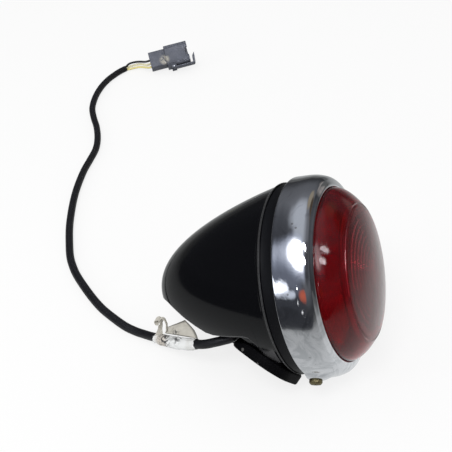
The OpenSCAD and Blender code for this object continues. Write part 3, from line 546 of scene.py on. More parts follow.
# %% A material with places to hang effects on
class Finish:
    """A Principled material whose pattern is fixed in the lamp's own axes, or in the floor's."""

    def __init__(self, name, color, roughness, on_lamp=True, **sockets):
        self.material = bpy.data.materials.new(name)
        self.tree = shading(self.material)
        self.shader = self.tree.add("ShaderNodeBsdfPrincipled", Base_Color=(*color, 1),
                                    Roughness=roughness, **sockets)
        self.tree.add("ShaderNodeOutputMaterial", Surface=self.shader.outputs[0])
        self.where = self.tree.add("ShaderNodeTexCoord").outputs["Object"]
        if on_lamp:
            self.where = self.tree.add("ShaderNodeMapping", {"vector_type": "TEXTURE"}, Vector=self.where,
                                       Location=lamp_at, Rotation=LAMP.to_euler("XYZ")).outputs[0]
        self.normal = None
        print("finish", name)

    def along_lamp(self, axis, low, high):
        """A mask that rises between two places along one of the lamp's axes, in millimetres."""
        place = self.tree.add("ShaderNodeSeparateXYZ", _0=self.where).outputs[axis]
        return self.tree.steps(place, low * MM, high * MM)

    def near(self, point, inner, outer):
        """A mask round a point in millimetres: 1 within the first distance, 0 past the second."""
        away = self.tree.distance(self.where, Vector(point) * MM)
        return self.tree.steps(away, inner * MM, outer * MM, 1.0, 0.0)

    def painted_light_and_marks(self):
        """The mask that a mesh carries: painted light on the shell, darker edges and painted shade on the flap."""
        return self.tree.add("ShaderNodeAttribute", {"attribute_name": "painted_light_and_marks"}).outputs["Fac"]

    def mask(self, group, **values):
        made = self.tree.add("ShaderNodeGroup", {"node_tree": group}, Vector=self.where, **values)
        return made.outputs["Mask"]

    def now(self, title):
        socket = self.shader.inputs[title]
        return socket.links[0].from_socket if socket.links else socket.default_value

    def tint(self, mask, color, strength):
        """Lays a colour over the base colour where the mask is."""
        share = self.tree.times(mask, strength)
        mixed = self.tree.mix(share, self.now("Base Color"), (*color, 1))
        self.tree.feed(self.shader.inputs["Base Color"], mixed)

    def roughen(self, mask, rough):
        """Takes the roughness to another value where the mask is."""
        mixed = self.tree.add("ShaderNodeMix", {"data_type": "FLOAT"}, _0=mask, _2=self.now("Roughness"),
                              _3=rough).outputs[0]
        self.tree.feed(self.shader.inputs["Roughness"], mixed)

    def bump(self, mask, distance, strength):
        self.normal = self.tree.add("ShaderNodeBump", Height=mask, Distance=distance, Strength=strength,
                                    Normal=self.normal).outputs[0]
        self.tree.feed(self.shader.inputs["Normal"], self.normal)


# %% [markdown]
# The enamel is glossy black, so its colour is almost nothing and its gloss does the work. A mask
# that the mesh carries paints grey highlights along its cut edge and lip bead and a grey reflection
# of the floor on its skirt, and the material turns rough there too. The chrome is pitted and cloudy
# where damp has got at it, and grey veins on its lower side are a painted reflection of the ground.

# %% Metal and paint
def clouds(finish, scale, low, high, distortion=0.5):
    return finish.mask(CLOUDS, Scale=scale, Distortion=distortion, Low=low, High=high)


def specks(finish, scale, size, amount):
    return finish.mask(SPECKS, Scale=scale, Size=size, Amount=amount)


def dirt_and_shade_spot(finish, point, inner, outer, cloud, color, strength):
    """A cloudy spot of colour round a point in millimetres, for dirt and for painted shade."""
    spot = finish.tree.times(finish.near(point, inner, outer), clouds(finish, *cloud))
    finish.tint(spot, color, strength)


enamel = Finish("black_enamel", (0.0028, 0.0029, 0.0036), 0.10, Specular_IOR_Level=0.24)
enamel.roughen(clouds(enamel, 35, 0.45, 0.75), 0.2)
enamel.roughen(enamel.mask(SCRATCHES, Scale=700.0, Amount=0.6), 0.4)
enamel.tint(specks(enamel, 260, 0.12, 0.10), (0.16, 0.15, 0.14), 0.4)
# Painted light: grey highlights on the cut edge and lip bead and a grey reflection of the floor on the skirt, read
# from the mask that the mesh carries.
enamel.tint(enamel.painted_light_and_marks(), (0.10, 0.10, 0.104), 0.9)
enamel.roughen(enamel.painted_light_and_marks(), 0.5)

chrome = Finish("worn_chrome", (0.70, 0.71, 0.74), 0.045, Metallic=1.0)
chrome.roughen(clouds(chrome, 45, 0.48, 0.75, 0.6), 0.16)
chrome.tint(clouds(chrome, 70, 0.56, 0.7, 1.5), (0.46, 0.46, 0.50), 0.5)
chrome.tint(specks(chrome, 330, 0.2, 0.14), (0.14, 0.12, 0.10), 0.5)
# Grey veins on the lower side are a painted reflection of the marbled ground under the lamp.
low_side = chrome.along_lamp("Z", -18, -34)
painted_ground_reflection = chrome.tree.times(low_side, clouds(chrome, 75, 0.42, 0.62, 2.0))
chrome.tint(painted_ground_reflection, (0.42, 0.44, 0.46), 0.6)
chrome.roughen(low_side, 0.14)
chrome.bump(clouds(chrome, 28, 0.3, 0.7, 0.2), 0.0001, 0.5)

brass = Finish("brass", (0.72, 0.53, 0.2), 0.28, Metallic=1.0)
brass.roughen(brass.mask(SCRATCHES, Scale=900.0, Amount=0.8), 0.45)
brass.tint(clouds(brass, 200, 0.55, 0.7), (0.32, 0.2, 0.09), 0.6)
zinc = Finish("zinc_plate", (0.55, 0.56, 0.58), 0.34, Metallic=1.0)
zinc.roughen(clouds(zinc, 150, 0.4, 0.7), 0.5)
zinc.tint(clouds(zinc, 240, 0.58, 0.7), (0.33, 0.31, 0.27), 0.6)
olive = Finish("olive_zinc", (0.15, 0.13, 0.065), 0.5, Metallic=0.7)
olive.tint(clouds(olive, 500, 0.5, 0.65), (0.07, 0.045, 0.025), 0.8)
silvered = Finish("silvered_bowl", (0.86, 0.86, 0.87), 0.10, Metallic=1.0)
silvered.roughen(clouds(silvered, 80, 0.4, 0.7), 0.2)

# %% [markdown]
# The lens is clear red plastic, so light passes through it to the bowl and back; its raised disc
# has gone dull, which a mask along the lamp's axis limits to it. Rubber and the sleeve hardly
# shine. The label's dirt, and the painted shade along the foot of its flap, lie where the
# photograph has them, at places in the floor's own axes.

# %% Plastic, glass, rubber and paper
red_lens = Finish("red_lens", (0.33, 0.006, 0.014), 0.05, Transmission_Weight=0.9, IOR=1.49,
                  Specular_IOR_Level=0.32)
red_lens.roughen(clouds(red_lens, 60, 0.45, 0.8, 0.4), 0.16)
red_lens.tint(specks(red_lens, 150, 0.1, 0.12), (0.05, 0.004, 0.008), 0.7)
red_lens.bump(clouds(red_lens, 60, 0.3, 0.7, 0.3), 0.00012, 0.4)
disc = red_lens.along_lamp("X", 30.9, 31.2)
red_lens.roughen(disc, 0.19)
red_lens.tint(red_lens.tree.times(disc, clouds(red_lens, 30, 0.2, 0.8)), (0.30, 0.10, 0.11), 0.5)
clear_glass = Finish("bulb_glass", (0.95, 0.97, 0.98), 0.02, Transmission_Weight=1.0, IOR=1.5)
clear_glass.roughen(clouds(clear_glass, 100, 0.5, 0.7), 0.06)

rubber = Finish("black_rubber", (0.002, 0.002, 0.0025), 0.6, Specular_IOR_Level=0.05)
rubber.tint(specks(rubber, 240, 0.2, 0.10), (0.16, 0.155, 0.15), 0.5)
rubber.bump(clouds(rubber, 500, 0.3, 0.7, 0.2), 0.0001, 0.6)
band_rubber = Finish("band_rubber", (0.0045, 0.0048, 0.006), 0.45, Specular_IOR_Level=0.12)
band_rubber.roughen(clouds(band_rubber, 90, 0.4, 0.7), 0.5)
band_rubber.tint(specks(band_rubber, 260, 0.14, 0.12), (0.12, 0.12, 0.12), 0.5)

sleeve_plastic = Finish("black_sleeve", (0.007, 0.007, 0.009), 0.36, on_lamp=False, Specular_IOR_Level=0.4)
sleeve_plastic.roughen(clouds(sleeve_plastic, 90, 0.4, 0.7, 0.8), 0.55)
sleeve_plastic.tint(specks(sleeve_plastic, 400, 0.2, 0.12), (0.12, 0.12, 0.12), 0.4)
cream_wire = Finish("cream_wire", (0.74, 0.70, 0.47), 0.45, on_lamp=False)
cream_wire.tint(clouds(cream_wire, 300, 0.5, 0.7), (0.45, 0.4, 0.28), 0.5)
yellow_wire = Finish("yellow_wire", (0.74, 0.66, 0.28), 0.45, on_lamp=False)
yellow_wire.tint(clouds(yellow_wire, 300, 0.5, 0.7), (0.4, 0.34, 0.16), 0.5)
black_wire = Finish("black_wire", (0.010, 0.010, 0.010), 0.4, on_lamp=False)
black_wire.roughen(clouds(black_wire, 300, 0.5, 0.7), 0.6)

paper = Finish("label_paper", (0.70, 0.71, 0.71), 0.85, on_lamp=False)
paper.tint(clouds(paper, 60, 0.45, 0.7, 0.6), (0.56, 0.56, 0.54), 0.7)
paper.tint(paper.near((-55.5, -25.5, 9.5), 2, 7), (0.42, 0.36, 0.29), 0.7)
# The first spot is dirt on the wrap; the second is painted shade on the wrap along the flap's foot.
for point, inner, outer in (((-53.8, -26.5, 11.0), 2.5, 7.5), ((-45.5, -28.0, 17.0), 1.0, 5.5)):
    dirt_and_shade_spot(paper, point, inner, outer, (330, 0.46, 0.54, 1.4), (0.03, 0.03, 0.032), 0.92)
paper.bump(clouds(paper, 400, 0.2, 0.8, 0.3), 0.0003, 0.6)
flap_paper = Finish("flap_paper", (0.52, 0.50, 0.45), 0.85, on_lamp=False)
flap_paper.tint(clouds(flap_paper, 160, 0.4, 0.7, 0.8), (0.42, 0.40, 0.35), 0.6)
# Painted shade at the flap's foot, where it stands on the wrap.
dirt_and_shade_spot(flap_paper, (-48.0, -24.0, 16.2), 1, 4.5, (420, 0.46, 0.56, 1.2), (0.05, 0.05, 0.05), 0.85)
# The carried mask darkens the flap's upper edge and free end, and paints shade at its foot.
flap_paper.tint(flap_paper.painted_light_and_marks(), (0.055, 0.053, 0.043), 0.92)
flap_paper.bump(clouds(flap_paper, 200, 0.2, 0.8, 0.3), 0.0003, 0.5)

slate = Finish("slate_plastic", (0.085, 0.092, 0.118), 0.38, on_lamp=False)
slate.roughen(clouds(slate, 200, 0.4, 0.7), 0.55)
slate.tint(clouds(slate, 160, 0.35, 0.6), (0.055, 0.06, 0.075), 0.6)
slate.tint(clouds(slate, 420, 0.66, 0.72), (0.3, 0.29, 0.26), 0.5)
dirt_and_shade_spot(slate, (-171.0, 301.0, 11.6), 2.5, 5.5, (330, 0.38, 0.56, 1.0), (0.36, 0.34, 0.29), 0.85)
seal_rubber = Finish("brown_seal", (0.26, 0.15, 0.09), 0.7, on_lamp=False)
seal_rubber.bump(clouds(seal_rubber, 600, 0.3, 0.7, 0.2), 0.0001, 0.5)
phenolic = Finish("brown_phenolic", (0.2, 0.11, 0.06), 0.6)
phenolic.tint(clouds(phenolic, 400, 0.5, 0.65), (0.1, 0.06, 0.04), 0.6)

# %% Which finish each solid takes
FINISH_OF_SLOT = {
    "shell_black": enamel, "chrome": chrome, "lens_red": red_lens, "reflector_silver": silvered,
    "zinc_plate": zinc, "screw_olive": olive, "spring_steel": zinc, "rubber_black": rubber,
    "brass": brass, "solder": zinc, "phenolic": phenolic, "bulb_glass": clear_glass,
    "sleeve_black": sleeve_plastic, "wire_cream": cream_wire, "wire_yellow": yellow_wire,
    "label_paper": paper, "connector_slate": slate, "seal_brown": seal_rubber,
}
slot_of = {part["node"]: part["material_slot"] for part in frame["record"]["subparts"]}
body_of = {name: body for body, names in frame["record"]["behaviour"]["bodies"].items() for name in names}
for name, solid in frame["nodes"].items():
    solid.data.materials.clear()
    solid.data.materials.append(FINISH_OF_SLOT[slot_of[name]].material)
print("slots with a finish:", len(FINISH_OF_SLOT))

# %% [markdown]
# ## The shell
# A pressed steel bullet, cut away below so that it hugs a fender. It could be a turned piece with
# its lower part cut off, but a cut leaves ragged triangles. So it is drawn as rings round the
# lamp's axis, each ring open below as far as the cut edge asks, and then given its sheet's wall.

# %% The bullet's rule
SHELL_FRONT_R, SHELL_LEN, LIP_X, NECK_R, NECK_X = 50.2, 79.0, -6.7, 47.5, 10.0
SHEET, FULLNESS, NOSE = 1.0, 2.18, 1.11
# The cut edge, as [place along the axis, height], in the lamp's own axes.
shell_edge = [
    (-90, -4), (-82, -8), (-76, -12), (-70, -17), (-64, -22), (-57, -27), (-51, -30.7), (-46, -32.6),
    (-40, -34), (-34, -35), (-25, -36.3), (-22, -37.2), (-19.6, -39.5), (-17.6, -42.5), (-17.2, -45.3),
    (-16, -46.6), (-13.5, -47.2), (-9.5, -47.5),
]
# How the sheet rolls in at the cut, as [distance from the edge, step out of the bullet].
EDGE_ROLL = [(0.0, -0.55), (0.12, -0.28), (0.35, -0.1), (0.7, 0.0), (1.2, 0.0), (2.0, 0.0)]
# The bead rolled along the lip, as [out of the front radius, back from the lip].
LIP_BEAD = [(-0.25, 1.7), (0.25, 1.45), (0.55, 1.05), (0.7, 0.6), (0.65, 0.2), (0.4, 0)]
EDGE_ZONE, POINTS_ROUND = 3.0, 200
# How much grey is painted in: a reflection of the floor on the skirt, highlights on the edge and bead.
SKIRT_PAINTED_REFLECTION, EDGE_PAINTED_HIGHLIGHT, BEAD_PAINTED_HIGHLIGHT = 0.62, 0.95, 0.35
# The skirt's painted reflection of the floor lies in a strip along the cut, on the front part of
# the shell only. Each pair says where the painted light begins to show and where it is full.
SKIRT_STRIP, SKIRT_START, EDGE_STRIP = (13.5, 10.5), (-18, -15), (1.2, 0.6)


def bullet_radius(x):
    along = min(1.0, (LIP_X - x) / SHELL_LEN)
    return SHELL_FRONT_R * (1 - along ** NOSE) ** (1 / FULLNESS)


def edge_depth(x):
    """How far the shell reaches down at x, before the cut."""
    if x > shell_edge[-1][0]:
        return 1000.0
    for (x0, z0), (x1, z1) in zip(shell_edge, shell_edge[1:]):
        if x0 <= x <= x1:
            return -(z0 + (z1 - z0) * (x - x0) / (x1 - x0))
    return 0.0


print("shell from", LIP_X - SHELL_LEN, "to", LIP_X, "mm along the lamp's axis")

# %% [markdown]
# Grey is painted into the enamel as highlights along the cut edge and the lip bead, and as a
# reflection of the floor on the skirt that faces the fender. How much each point gets goes with the
# mesh, so the painted light follows the edge wherever it runs.

# %% Shell
def smooth_step(value, low, high):
    """0 at low and 1 at high, whichever of them is larger, with soft ends."""
    share = min(1.0, max(0.0, (value - low) / (high - low)))
    return share * share * (3 - 2 * share)


def shell_skin():
    stations = [LIP_X - SHELL_LEN * (1 - (k / 76) ** 1.6) for k in range(1, 76)]
    stations += [x for x, _ in shell_edge if -82 <= x] + [-9.6, -9.45]
    outline = [(bullet_radius(x), x) for x in sorted(set(round(x, 3) for x in stations)) if x < LIP_X - 1.9]
    outline += [(SHELL_FRONT_R + out, LIP_X - back) for out, back in LIP_BEAD] + [(NECK_R - 0.4, LIP_X)]
    bead_from, bead_to = len(outline) - len(LIP_BEAD), len(outline) - 2
    bm = bmesh.new()
    painted_light_and_marks = bm.verts.layers.float.new("painted_light_and_marks")
    tip = bm.verts.new((LIP_X - SHELL_LEN, 0, 0))
    rows = []
    for i, (radius, x) in enumerate(outline):
        depth = edge_depth(x)
        cut = depth < radius
        reach = math.acos(-depth / radius) if cut else math.pi
        middle = reach - EDGE_ZONE / radius
        half = [(reach - from_edge / radius, from_edge, step if cut else 0.0)
                for from_edge, step in EDGE_ROLL]
        for k in range(POINTS_ROUND // 2):
            a = middle * (1 - 2 * k / POINTS_ROUND)
            half.append((a, (reach - a) * radius, 0.0))
        other_half = [(-a, from_edge, step) for a, from_edge, step in reversed(half)]
        row = []
        for a, from_edge, step in reversed(half + [(0.0, reach * radius, 0.0)] + other_half):
            r = radius + step
            vert = bm.verts.new((x, r * math.sin(a), r * math.cos(a)))
            on_skirt = SKIRT_PAINTED_REFLECTION * smooth_step(from_edge, *SKIRT_STRIP) * smooth_step(x, *SKIRT_START)
            on_edge = EDGE_PAINTED_HIGHLIGHT * smooth_step(from_edge, *EDGE_STRIP)
            on_bead = BEAD_PAINTED_HIGHLIGHT if bead_from < i < bead_to else 0.0
            vert[painted_light_and_marks] = max(on_skirt, on_edge, on_bead) if cut else on_bead
            row.append(vert)
        rows.append(row)
    for k in range(len(rows[0]) - 1):
        bm.faces.new([tip, rows[0][k + 1], rows[0][k]])
    skin_rows(bm, rows)
    bmesh.ops.remove_doubles(bm, verts=bm.verts, dist=2e-3)
    bmesh.ops.recalc_face_normals(bm, faces=bm.faces)
    if sum(face.normal.dot(face.calc_center_median() * Vector((0, 1, 1))) for face in bm.faces) < 0:
        bmesh.ops.reverse_faces(bm, faces=bm.faces)
    mesh = written(bm, "shell")
    mesh.transform(LAMP @ Matrix.Scale(MM, 4))
    mesh = shaped(mesh, ("SOLIDIFY", {"thickness": SHEET * MM, "offset": -1.0}))
    smooth_by_angle(mesh)
    return mesh


put("shell_skin", shell_skin(), enamel, "lamp", "shell")

# %% [markdown]
# The neck that the rim slides over is hidden, and its notch, ears and rivet holes are right in the
# solid. So the solid's own front end is kept, cut off just behind the lip and closed there.

# %% Neck
def front_of_solid(name, x):
    """The part of a solid ahead of a place along the lamp's axis, closed at the cut."""
    mesh = copy_of_solid(name)
    bm = opened(mesh)
    everything = bm.verts[:] + bm.edges[:] + bm.faces[:]
    bmesh.ops.bisect_plane(bm, geom=everything, plane_co=LAMP @ Vector((x * MM, 0, 0)), plane_no=lamp_x,
                           clear_inner=True)
    bmesh.ops.bridge_loops(bm, edges=[edge for edge in bm.edges if edge.is_boundary])
    written(bm, mesh)
    smooth_by_angle(mesh)
    return mesh


BEHIND_LIP = 0.95
put("shell_neck", front_of_solid("shell", LIP_X - BEHIND_LIP), enamel, "lamp", "shell")

# %% [markdown]
# ## The foot
# A rubber pad sits between the shell and the fender. Moulded rubber has no sharp edges, so the
# solid is remeshed finely and smoothed a little, which rounds every edge and keeps its bores.

# %% Rubber pad
PAD_GRAIN, PAD_SWELL = 0.4, 0.4
pad_mesh = shaped(
    copy_of_solid("fender_pad"),
    ("REMESH", {"mode": "VOXEL", "voxel_size": PAD_GRAIN * MM}),
    ("SMOOTH", {"factor": 0.6, "iterations": 5}),
    ("DISPLACE", {"strength": PAD_SWELL * MM, "mid_level": 0.0}),
)
smooth_by_angle(pad_mesh, 60)
put("fender_pad_rubber", pad_mesh, rubber, "lamp", "fender_pad")

# %% [markdown]
# The small hardware keeps its solid's shape, with edges broken by a fine bevel so that each edge
# catches light as a stamped or moulded one does. The bevels differ from piece to piece.

# %% Hardware that keeps its solid's shape
BEVELS = {
    "base_plate": 0.2, "weld_nuts": 0.35, "cord_grommet": 0.3, "earth_screw": 0.25, "earth_tag": 0.12,
    "rim_screw": 0.18, "rim_screw_spacer": 0.15, "rim_screw_nut": 0.2, "lens_seal": 0.3,
    "bulb_socket": 0.1, "contact_carrier": 0.15, "carrier_contacts": 0.15, "bulb_insulator": 0.2,
    "bulb_contacts": 0.3, "bulb_cap": 0.15, "bulb_stem": 0.2, "connector_seal": 0.25,
    "connector_rear": 0.35, "connector_hood": 0.3, "connector_terminals": 0.1, "connector_latch": 0.2,
    "latch_pin": 0.1,
}
for name, bevel in BEVELS.items():
    mesh = copy_of_solid(name, bevel)
    put(name + "_dressed", mesh, FINISH_OF_SLOT[slot_of[name]], body_of[name], name)

# %% [markdown]
# ## Rim and lens
# The rim is a spun ring. Its outline is given by a few points and smoothed, because chrome shows
# every corner in an outline as a break in the reflection. One corner is wanted: the bevel round the
# lens. A low boss is pressed out under the screw. Both pieces come from the lathe tree.

# %% Rim
RIM_R, RIM_X, RIM_OPEN_R = 53.0, 19.2, 45.3
rear = [(RIM_R - 0.6, 0), (RIM_R - 0.15, 0.25), (RIM_R, 0.8), (RIM_R, 3), (RIM_R, 6), (RIM_R - 0.1, 9),
        (RIM_R - 0.5, 12), (RIM_R - 1.5, 15.2), (RIM_R - 2.4, 16.7), (RIM_R - 3.35, 17.65)]
bevel = [(RIM_R - 3.6, 17.85), (RIM_R - 4.8, 18.4), (RIM_R - 6.0, 19.0), (RIM_OPEN_R + 1.0, RIM_X),
         (RIM_OPEN_R + 0.5, RIM_X - 0.05), (RIM_OPEN_R + 0.1, RIM_X - 0.4), (RIM_OPEN_R, RIM_X - 0.9)]
inner = [(RIM_OPEN_R, RIM_X - 1.7), (RIM_OPEN_R + 1.6, RIM_X - 1.2), (RIM_R - 5.3, RIM_X - 1.7),
         (RIM_R - 3.9, 16.4), (RIM_R - 2.6, 14.6), (RIM_R - 1.7, 12), (RIM_R - 1.25, 9), (RIM_R - 1.2, 5.5),
         (RIM_R - 1.3, 3), (RIM_R - 1.6, 1.2), (NECK_R + 0.5, 1.2), (NECK_R + 0.5, 0)]
outline = []
for part in (rear, bevel):
    outline += [(p.x, p.y) for p in curve_through([(r, x, 0) for r, x in part], 6)]
rim_mesh = turned("rim", outline + inner, chrome, 320)
# The boss rises to its full height within its inner distance from the screw.
SCREW_X, BOSS_HEIGHT, BOSS_OUTER, BOSS_INNER = 3.5, 1.6, 9.5, 4.0
to_lamp = LAMP.inverted()
for vert in rim_mesh.vertices:
    x, y, z = to_lamp @ vert.co / MM
    r = math.hypot(y, z)
    if r > RIM_R - 0.9 and x < 14:
        from_screw = math.hypot(x - SCREW_X, r * math.atan2(y, -z))
        grown_by = 1 + BOSS_HEIGHT * smooth_step(from_screw, BOSS_OUTER, BOSS_INNER) / r
        vert.co = LAMP @ (Vector((x, y * grown_by, z * grown_by)) * MM)
put("rim_chrome", rim_mesh, chrome, "rim", "rim")

# %% [markdown]
# The lens is one moulding: a skirt under the rim, a flank that curves in by a power rule, and a
# raised disc with a low dome. Inside the disc are fine steps that bend the light, as in a
# lighthouse lens. They show from outside as faint rings, so they are real steps in the outline.

# %% Lens
LENS_X, DISC_R, LENS_WALL, RING_STEP = 36.7, 34.4, 2.4, 3
DOME_RISE, FLANK_TAPER, FLANK_POWER = 5.2, 9.6, 1.67
FLANK_FROM, FLANK_TO, FLANK_R = 19.5, 31.0, 45.1


def dome_x(radius):
    return LENS_X - DOME_RISE * (radius / DISC_R) ** 2


def flank_radius(x):
    along = max(0.0, x - FLANK_FROM) / (FLANK_TO - FLANK_FROM)
    return FLANK_R - FLANK_TAPER * along ** FLANK_POWER


inside = [(0, LENS_X - LENS_WALL)]
for r in range(RING_STEP, 31, RING_STEP):
    inside += [(r, dome_x(r) - LENS_WALL), (r + 0.05, dome_x(r) - LENS_WALL - 0.7)]
inside += [(33, 28.9)] + [(flank_radius(x + 1.7) - 1.6, x) for x in (28 - 0.5 * k for k in range(17))]
skirt = [(42.6, 17.5), (42.6, 13.6), (47.2, 13.6), (47.2, 17.2), (FLANK_R, 17.2)]
outside = [(flank_radius(x), x) for x in (FLANK_FROM + 0.4 * k for k in range(28))]
outside += [(DISC_R + 1.2, 30.9), (DISC_R + 0.75, 30.78), (DISC_R + 0.35, 30.8), (DISC_R + 0.12, 30.95),
            (DISC_R + 0.02, 31.25), (DISC_R - 0.15, dome_x(DISC_R) - 0.05),
            (DISC_R - 0.5, dome_x(DISC_R - 0.5))]
outside += [(r, dome_x(r)) for r in range(33, -1, -1)]
put("lens_dome", turned("lens", inside + skirt + outside, red_lens, 256), red_lens, "rim", "lens")

# %% [markdown]
# A rubber band fills the gap between the shell's lip and the rim. It is a plain turned strip, but
# its front and rear edges stand up a little, as extruded rubber does when it is stretched round.

# %% Rubber band behind the rim
band = [(NECK_R + 0.05, LIP_X), (SHELL_FRONT_R - 0.1, LIP_X), (SHELL_FRONT_R + 0.1, LIP_X + 0.3),
        (SHELL_FRONT_R + 0.05, LIP_X + 0.9), (SHELL_FRONT_R - 0.1, LIP_X + 1.5), (SHELL_FRONT_R, -3.4),
        (SHELL_FRONT_R + 0.2, -1.2), (SHELL_FRONT_R + 0.4, -0.6), (SHELL_FRONT_R + 0.42, -0.25),
        (SHELL_FRONT_R + 0.25, -0.05), (NECK_R + 0.05, -0.05)]
put("rim_band", turned("band", band, band_rubber), band_rubber, "lamp", "rim_seal")

# %% [markdown]
# ## Reflector, bulb and spring
# Behind the lens a silvered bowl throws the light forward. Its curve follows a power rule, so it
# is turned, and the notch for the rim screw is cut from it afterwards. The glass of the bulb is a
# turned shell too. Rivets are one small turned piece, repeated round a circle by its own tree.

# %% Reflector bowl
BOWL_R, FLAT_R, THROAT_R, BACK_X, BOWL_WALL, BOWL_POWER = 42.0, 13.0, 8.9, -14.0, 0.8, 1.8
BOWL_DEPTH = NECK_X - BOWL_WALL - BACK_X


def bowl_x(radius):
    return BACK_X + BOWL_DEPTH * ((radius - FLAT_R) / (BOWL_R - FLAT_R)) ** BOWL_POWER


bowl_steps = [FLAT_R + (BOWL_R - FLAT_R) * k / 40 for k in range(41)]
outline = [(THROAT_R, BACK_X), (12.95, BACK_X)] + [(r + 0.3, bowl_x(r) - 0.2) for r in bowl_steps]
outline += [(BOWL_R + 0.6, NECK_X), (NECK_R + 0.3, NECK_X), (NECK_R + 0.3, NECK_X + BOWL_WALL),
            (BOWL_R - 0.6, NECK_X + BOWL_WALL)]
outline += [(r - 0.5, bowl_x(r) + BOWL_WALL) for r in reversed(bowl_steps)]
outline += [(THROAT_R, BACK_X + BOWL_WALL)]
bowl_mesh = turned("bowl", outline, silvered, 160)
NOTCH_AT, NOTCH_SIZE = Vector((NECK_X + 1.4, 0, -51.55)), Vector((4, 8.2, 16.9))
bm = bmesh.new()
bmesh.ops.create_cube(bm, size=1.0, matrix=LAMP @ Matrix.Translation(NOTCH_AT * MM)
                      @ Matrix.Diagonal(NOTCH_SIZE * MM).to_4x4())
cutter = new_piece("notch", written(bm, "notch"))
bowl_mesh = shaped(bowl_mesh, ("BOOLEAN", {"operation": "DIFFERENCE", "solver": "EXACT", "object": cutter}))
bpy.data.objects.remove(cutter)
smooth_by_angle(bowl_mesh)
put("reflector_bowl", bowl_mesh, silvered, "lamp", "reflector")


# %% Rivets
def ring_of_rivets(count, circle_r, start, shank_r, head_r, x_from, x_to, front_head):
    """Rivets round the lamp's axis, each a short turned piece with a head behind and perhaps in front."""
    head = [(0, 0), (head_r * 0.7, 0.08), (head_r, 0.35), (head_r, 0.6), (shank_r, 0.62)]
    outline = [(r, x_from + x) for r, x in head]
    if front_head:
        outline += [(r, x_to - x) for r, x in reversed(head)]
    else:
        outline += [(shank_r, x_to - 0.2), (shank_r - 0.2, x_to), (0, x_to)]
    one = turned("rivet", outline, zinc, 24, Matrix.Identity(4))
    return grown("rivets", RING_OF, zinc, one, Count=count, Circle_Radius=circle_r * MM,
                 Start_Angle=math.radians(start))


rivets = ring_of_rivets(2, 44.4, 0, 1.2, 2.0, 7.0, 10.8, False)
put("reflector_rivet_heads", rivets, zinc, "lamp", "reflector_rivets")
rivets = ring_of_rivets(3, 11, 30, 0.98, 1.7, -15.6, -12.6, True)
put("socket_rivet_heads", rivets, zinc, "lamp", "socket_rivets")

# %% [markdown]
# A bulb's envelope is blown glass with a round head and a narrow neck, so it is turned with a real
# wall. Its two filaments are finely wound wire between their posts, which the coil tree winds.

# %% Bulb
GLASS_R, GLASS_X, GLASS_HEAD, GLASS_NECK_R, GLASS_WALL, CAP_FRONT = 13.0, 7.0, 2.4, 6.6, 0.8, -11.0


def glass_outline(inset):
    """The envelope from its widest place to its tip, drawn in by a little for its inner face."""
    tip = GLASS_R + GLASS_HEAD - inset
    angles = [math.radians(a) for a in range(-62, 90, 4)]
    side = [((GLASS_R - inset) * math.cos(a), GLASS_X + tip * math.sin(a)) for a in angles]
    return side + [(0, GLASS_X + tip)]


neck = [(GLASS_NECK_R - 1, CAP_FRONT - 3), (GLASS_NECK_R, CAP_FRONT - 3)]
outline = list(reversed(glass_outline(GLASS_WALL))) + neck + glass_outline(0)
put("bulb_envelope", turned("glass", outline, clear_glass, 96), clear_glass, "bulb", "bulb_glass")

COIL_ALONG_Y = Matrix.Rotation(math.radians(-90), 4, "X")
FILAMENT_X, FILAMENT_STARTS = 8.6, (-4.5, 1.6)
filament_meshes = [copy_of_solid("bulb_filaments")]
for y in FILAMENT_STARTS:
    where = LAMP @ Matrix.Translation(Vector((FILAMENT_X, y, 0)) * MM) @ COIL_ALONG_Y
    filament_meshes.append(grown("filament", COIL, zinc, matrix=where, Steps=14, Turns=9.0,
                                 Height=2.9 * MM, Radius=0.45 * MM, Wire_Radius=0.1 * MM, Sides=6))
bm = bmesh.new()
for mesh in filament_meshes:
    bm.from_mesh(mesh)
put("bulb_filament_coils", written(bm, "filaments"), zinc, "bulb", "bulb_filaments")

# %% [markdown]
# The spring behind the bulb is a plain coil, wound by the coil tree. It shortens as the bulb is
# pushed in, and it is given a mesh of its own.

# %% Contact spring
SPRING_FROM, SPRING_TO, SPRING_WIRE_R, SPRING_COIL_R = -39.75, -32.45, 0.45, 5.8
spring_len = SPRING_TO - SPRING_FROM
where = TURNED @ Matrix.Translation((0, 0, (SPRING_FROM + SPRING_WIRE_R) * MM))
mesh = grown("spring", COIL, zinc, matrix=where, Steps=28, Turns=4.0,
             Height=(spring_len - 2 * SPRING_WIRE_R) * MM, Radius=SPRING_COIL_R * MM,
             Wire_Radius=SPRING_WIRE_R * MM, Sides=10)
spring = put("contact_spring_coil", mesh, zinc, "lamp", "contact_spring")
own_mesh(spring)

# %% [markdown]
# ## The lead
# The sleeve leaves through a grommet in the foot, drops to the floor and runs beside the lamp to
# the connector. The route is the one that the solid sleeve follows, so both lie in one place.

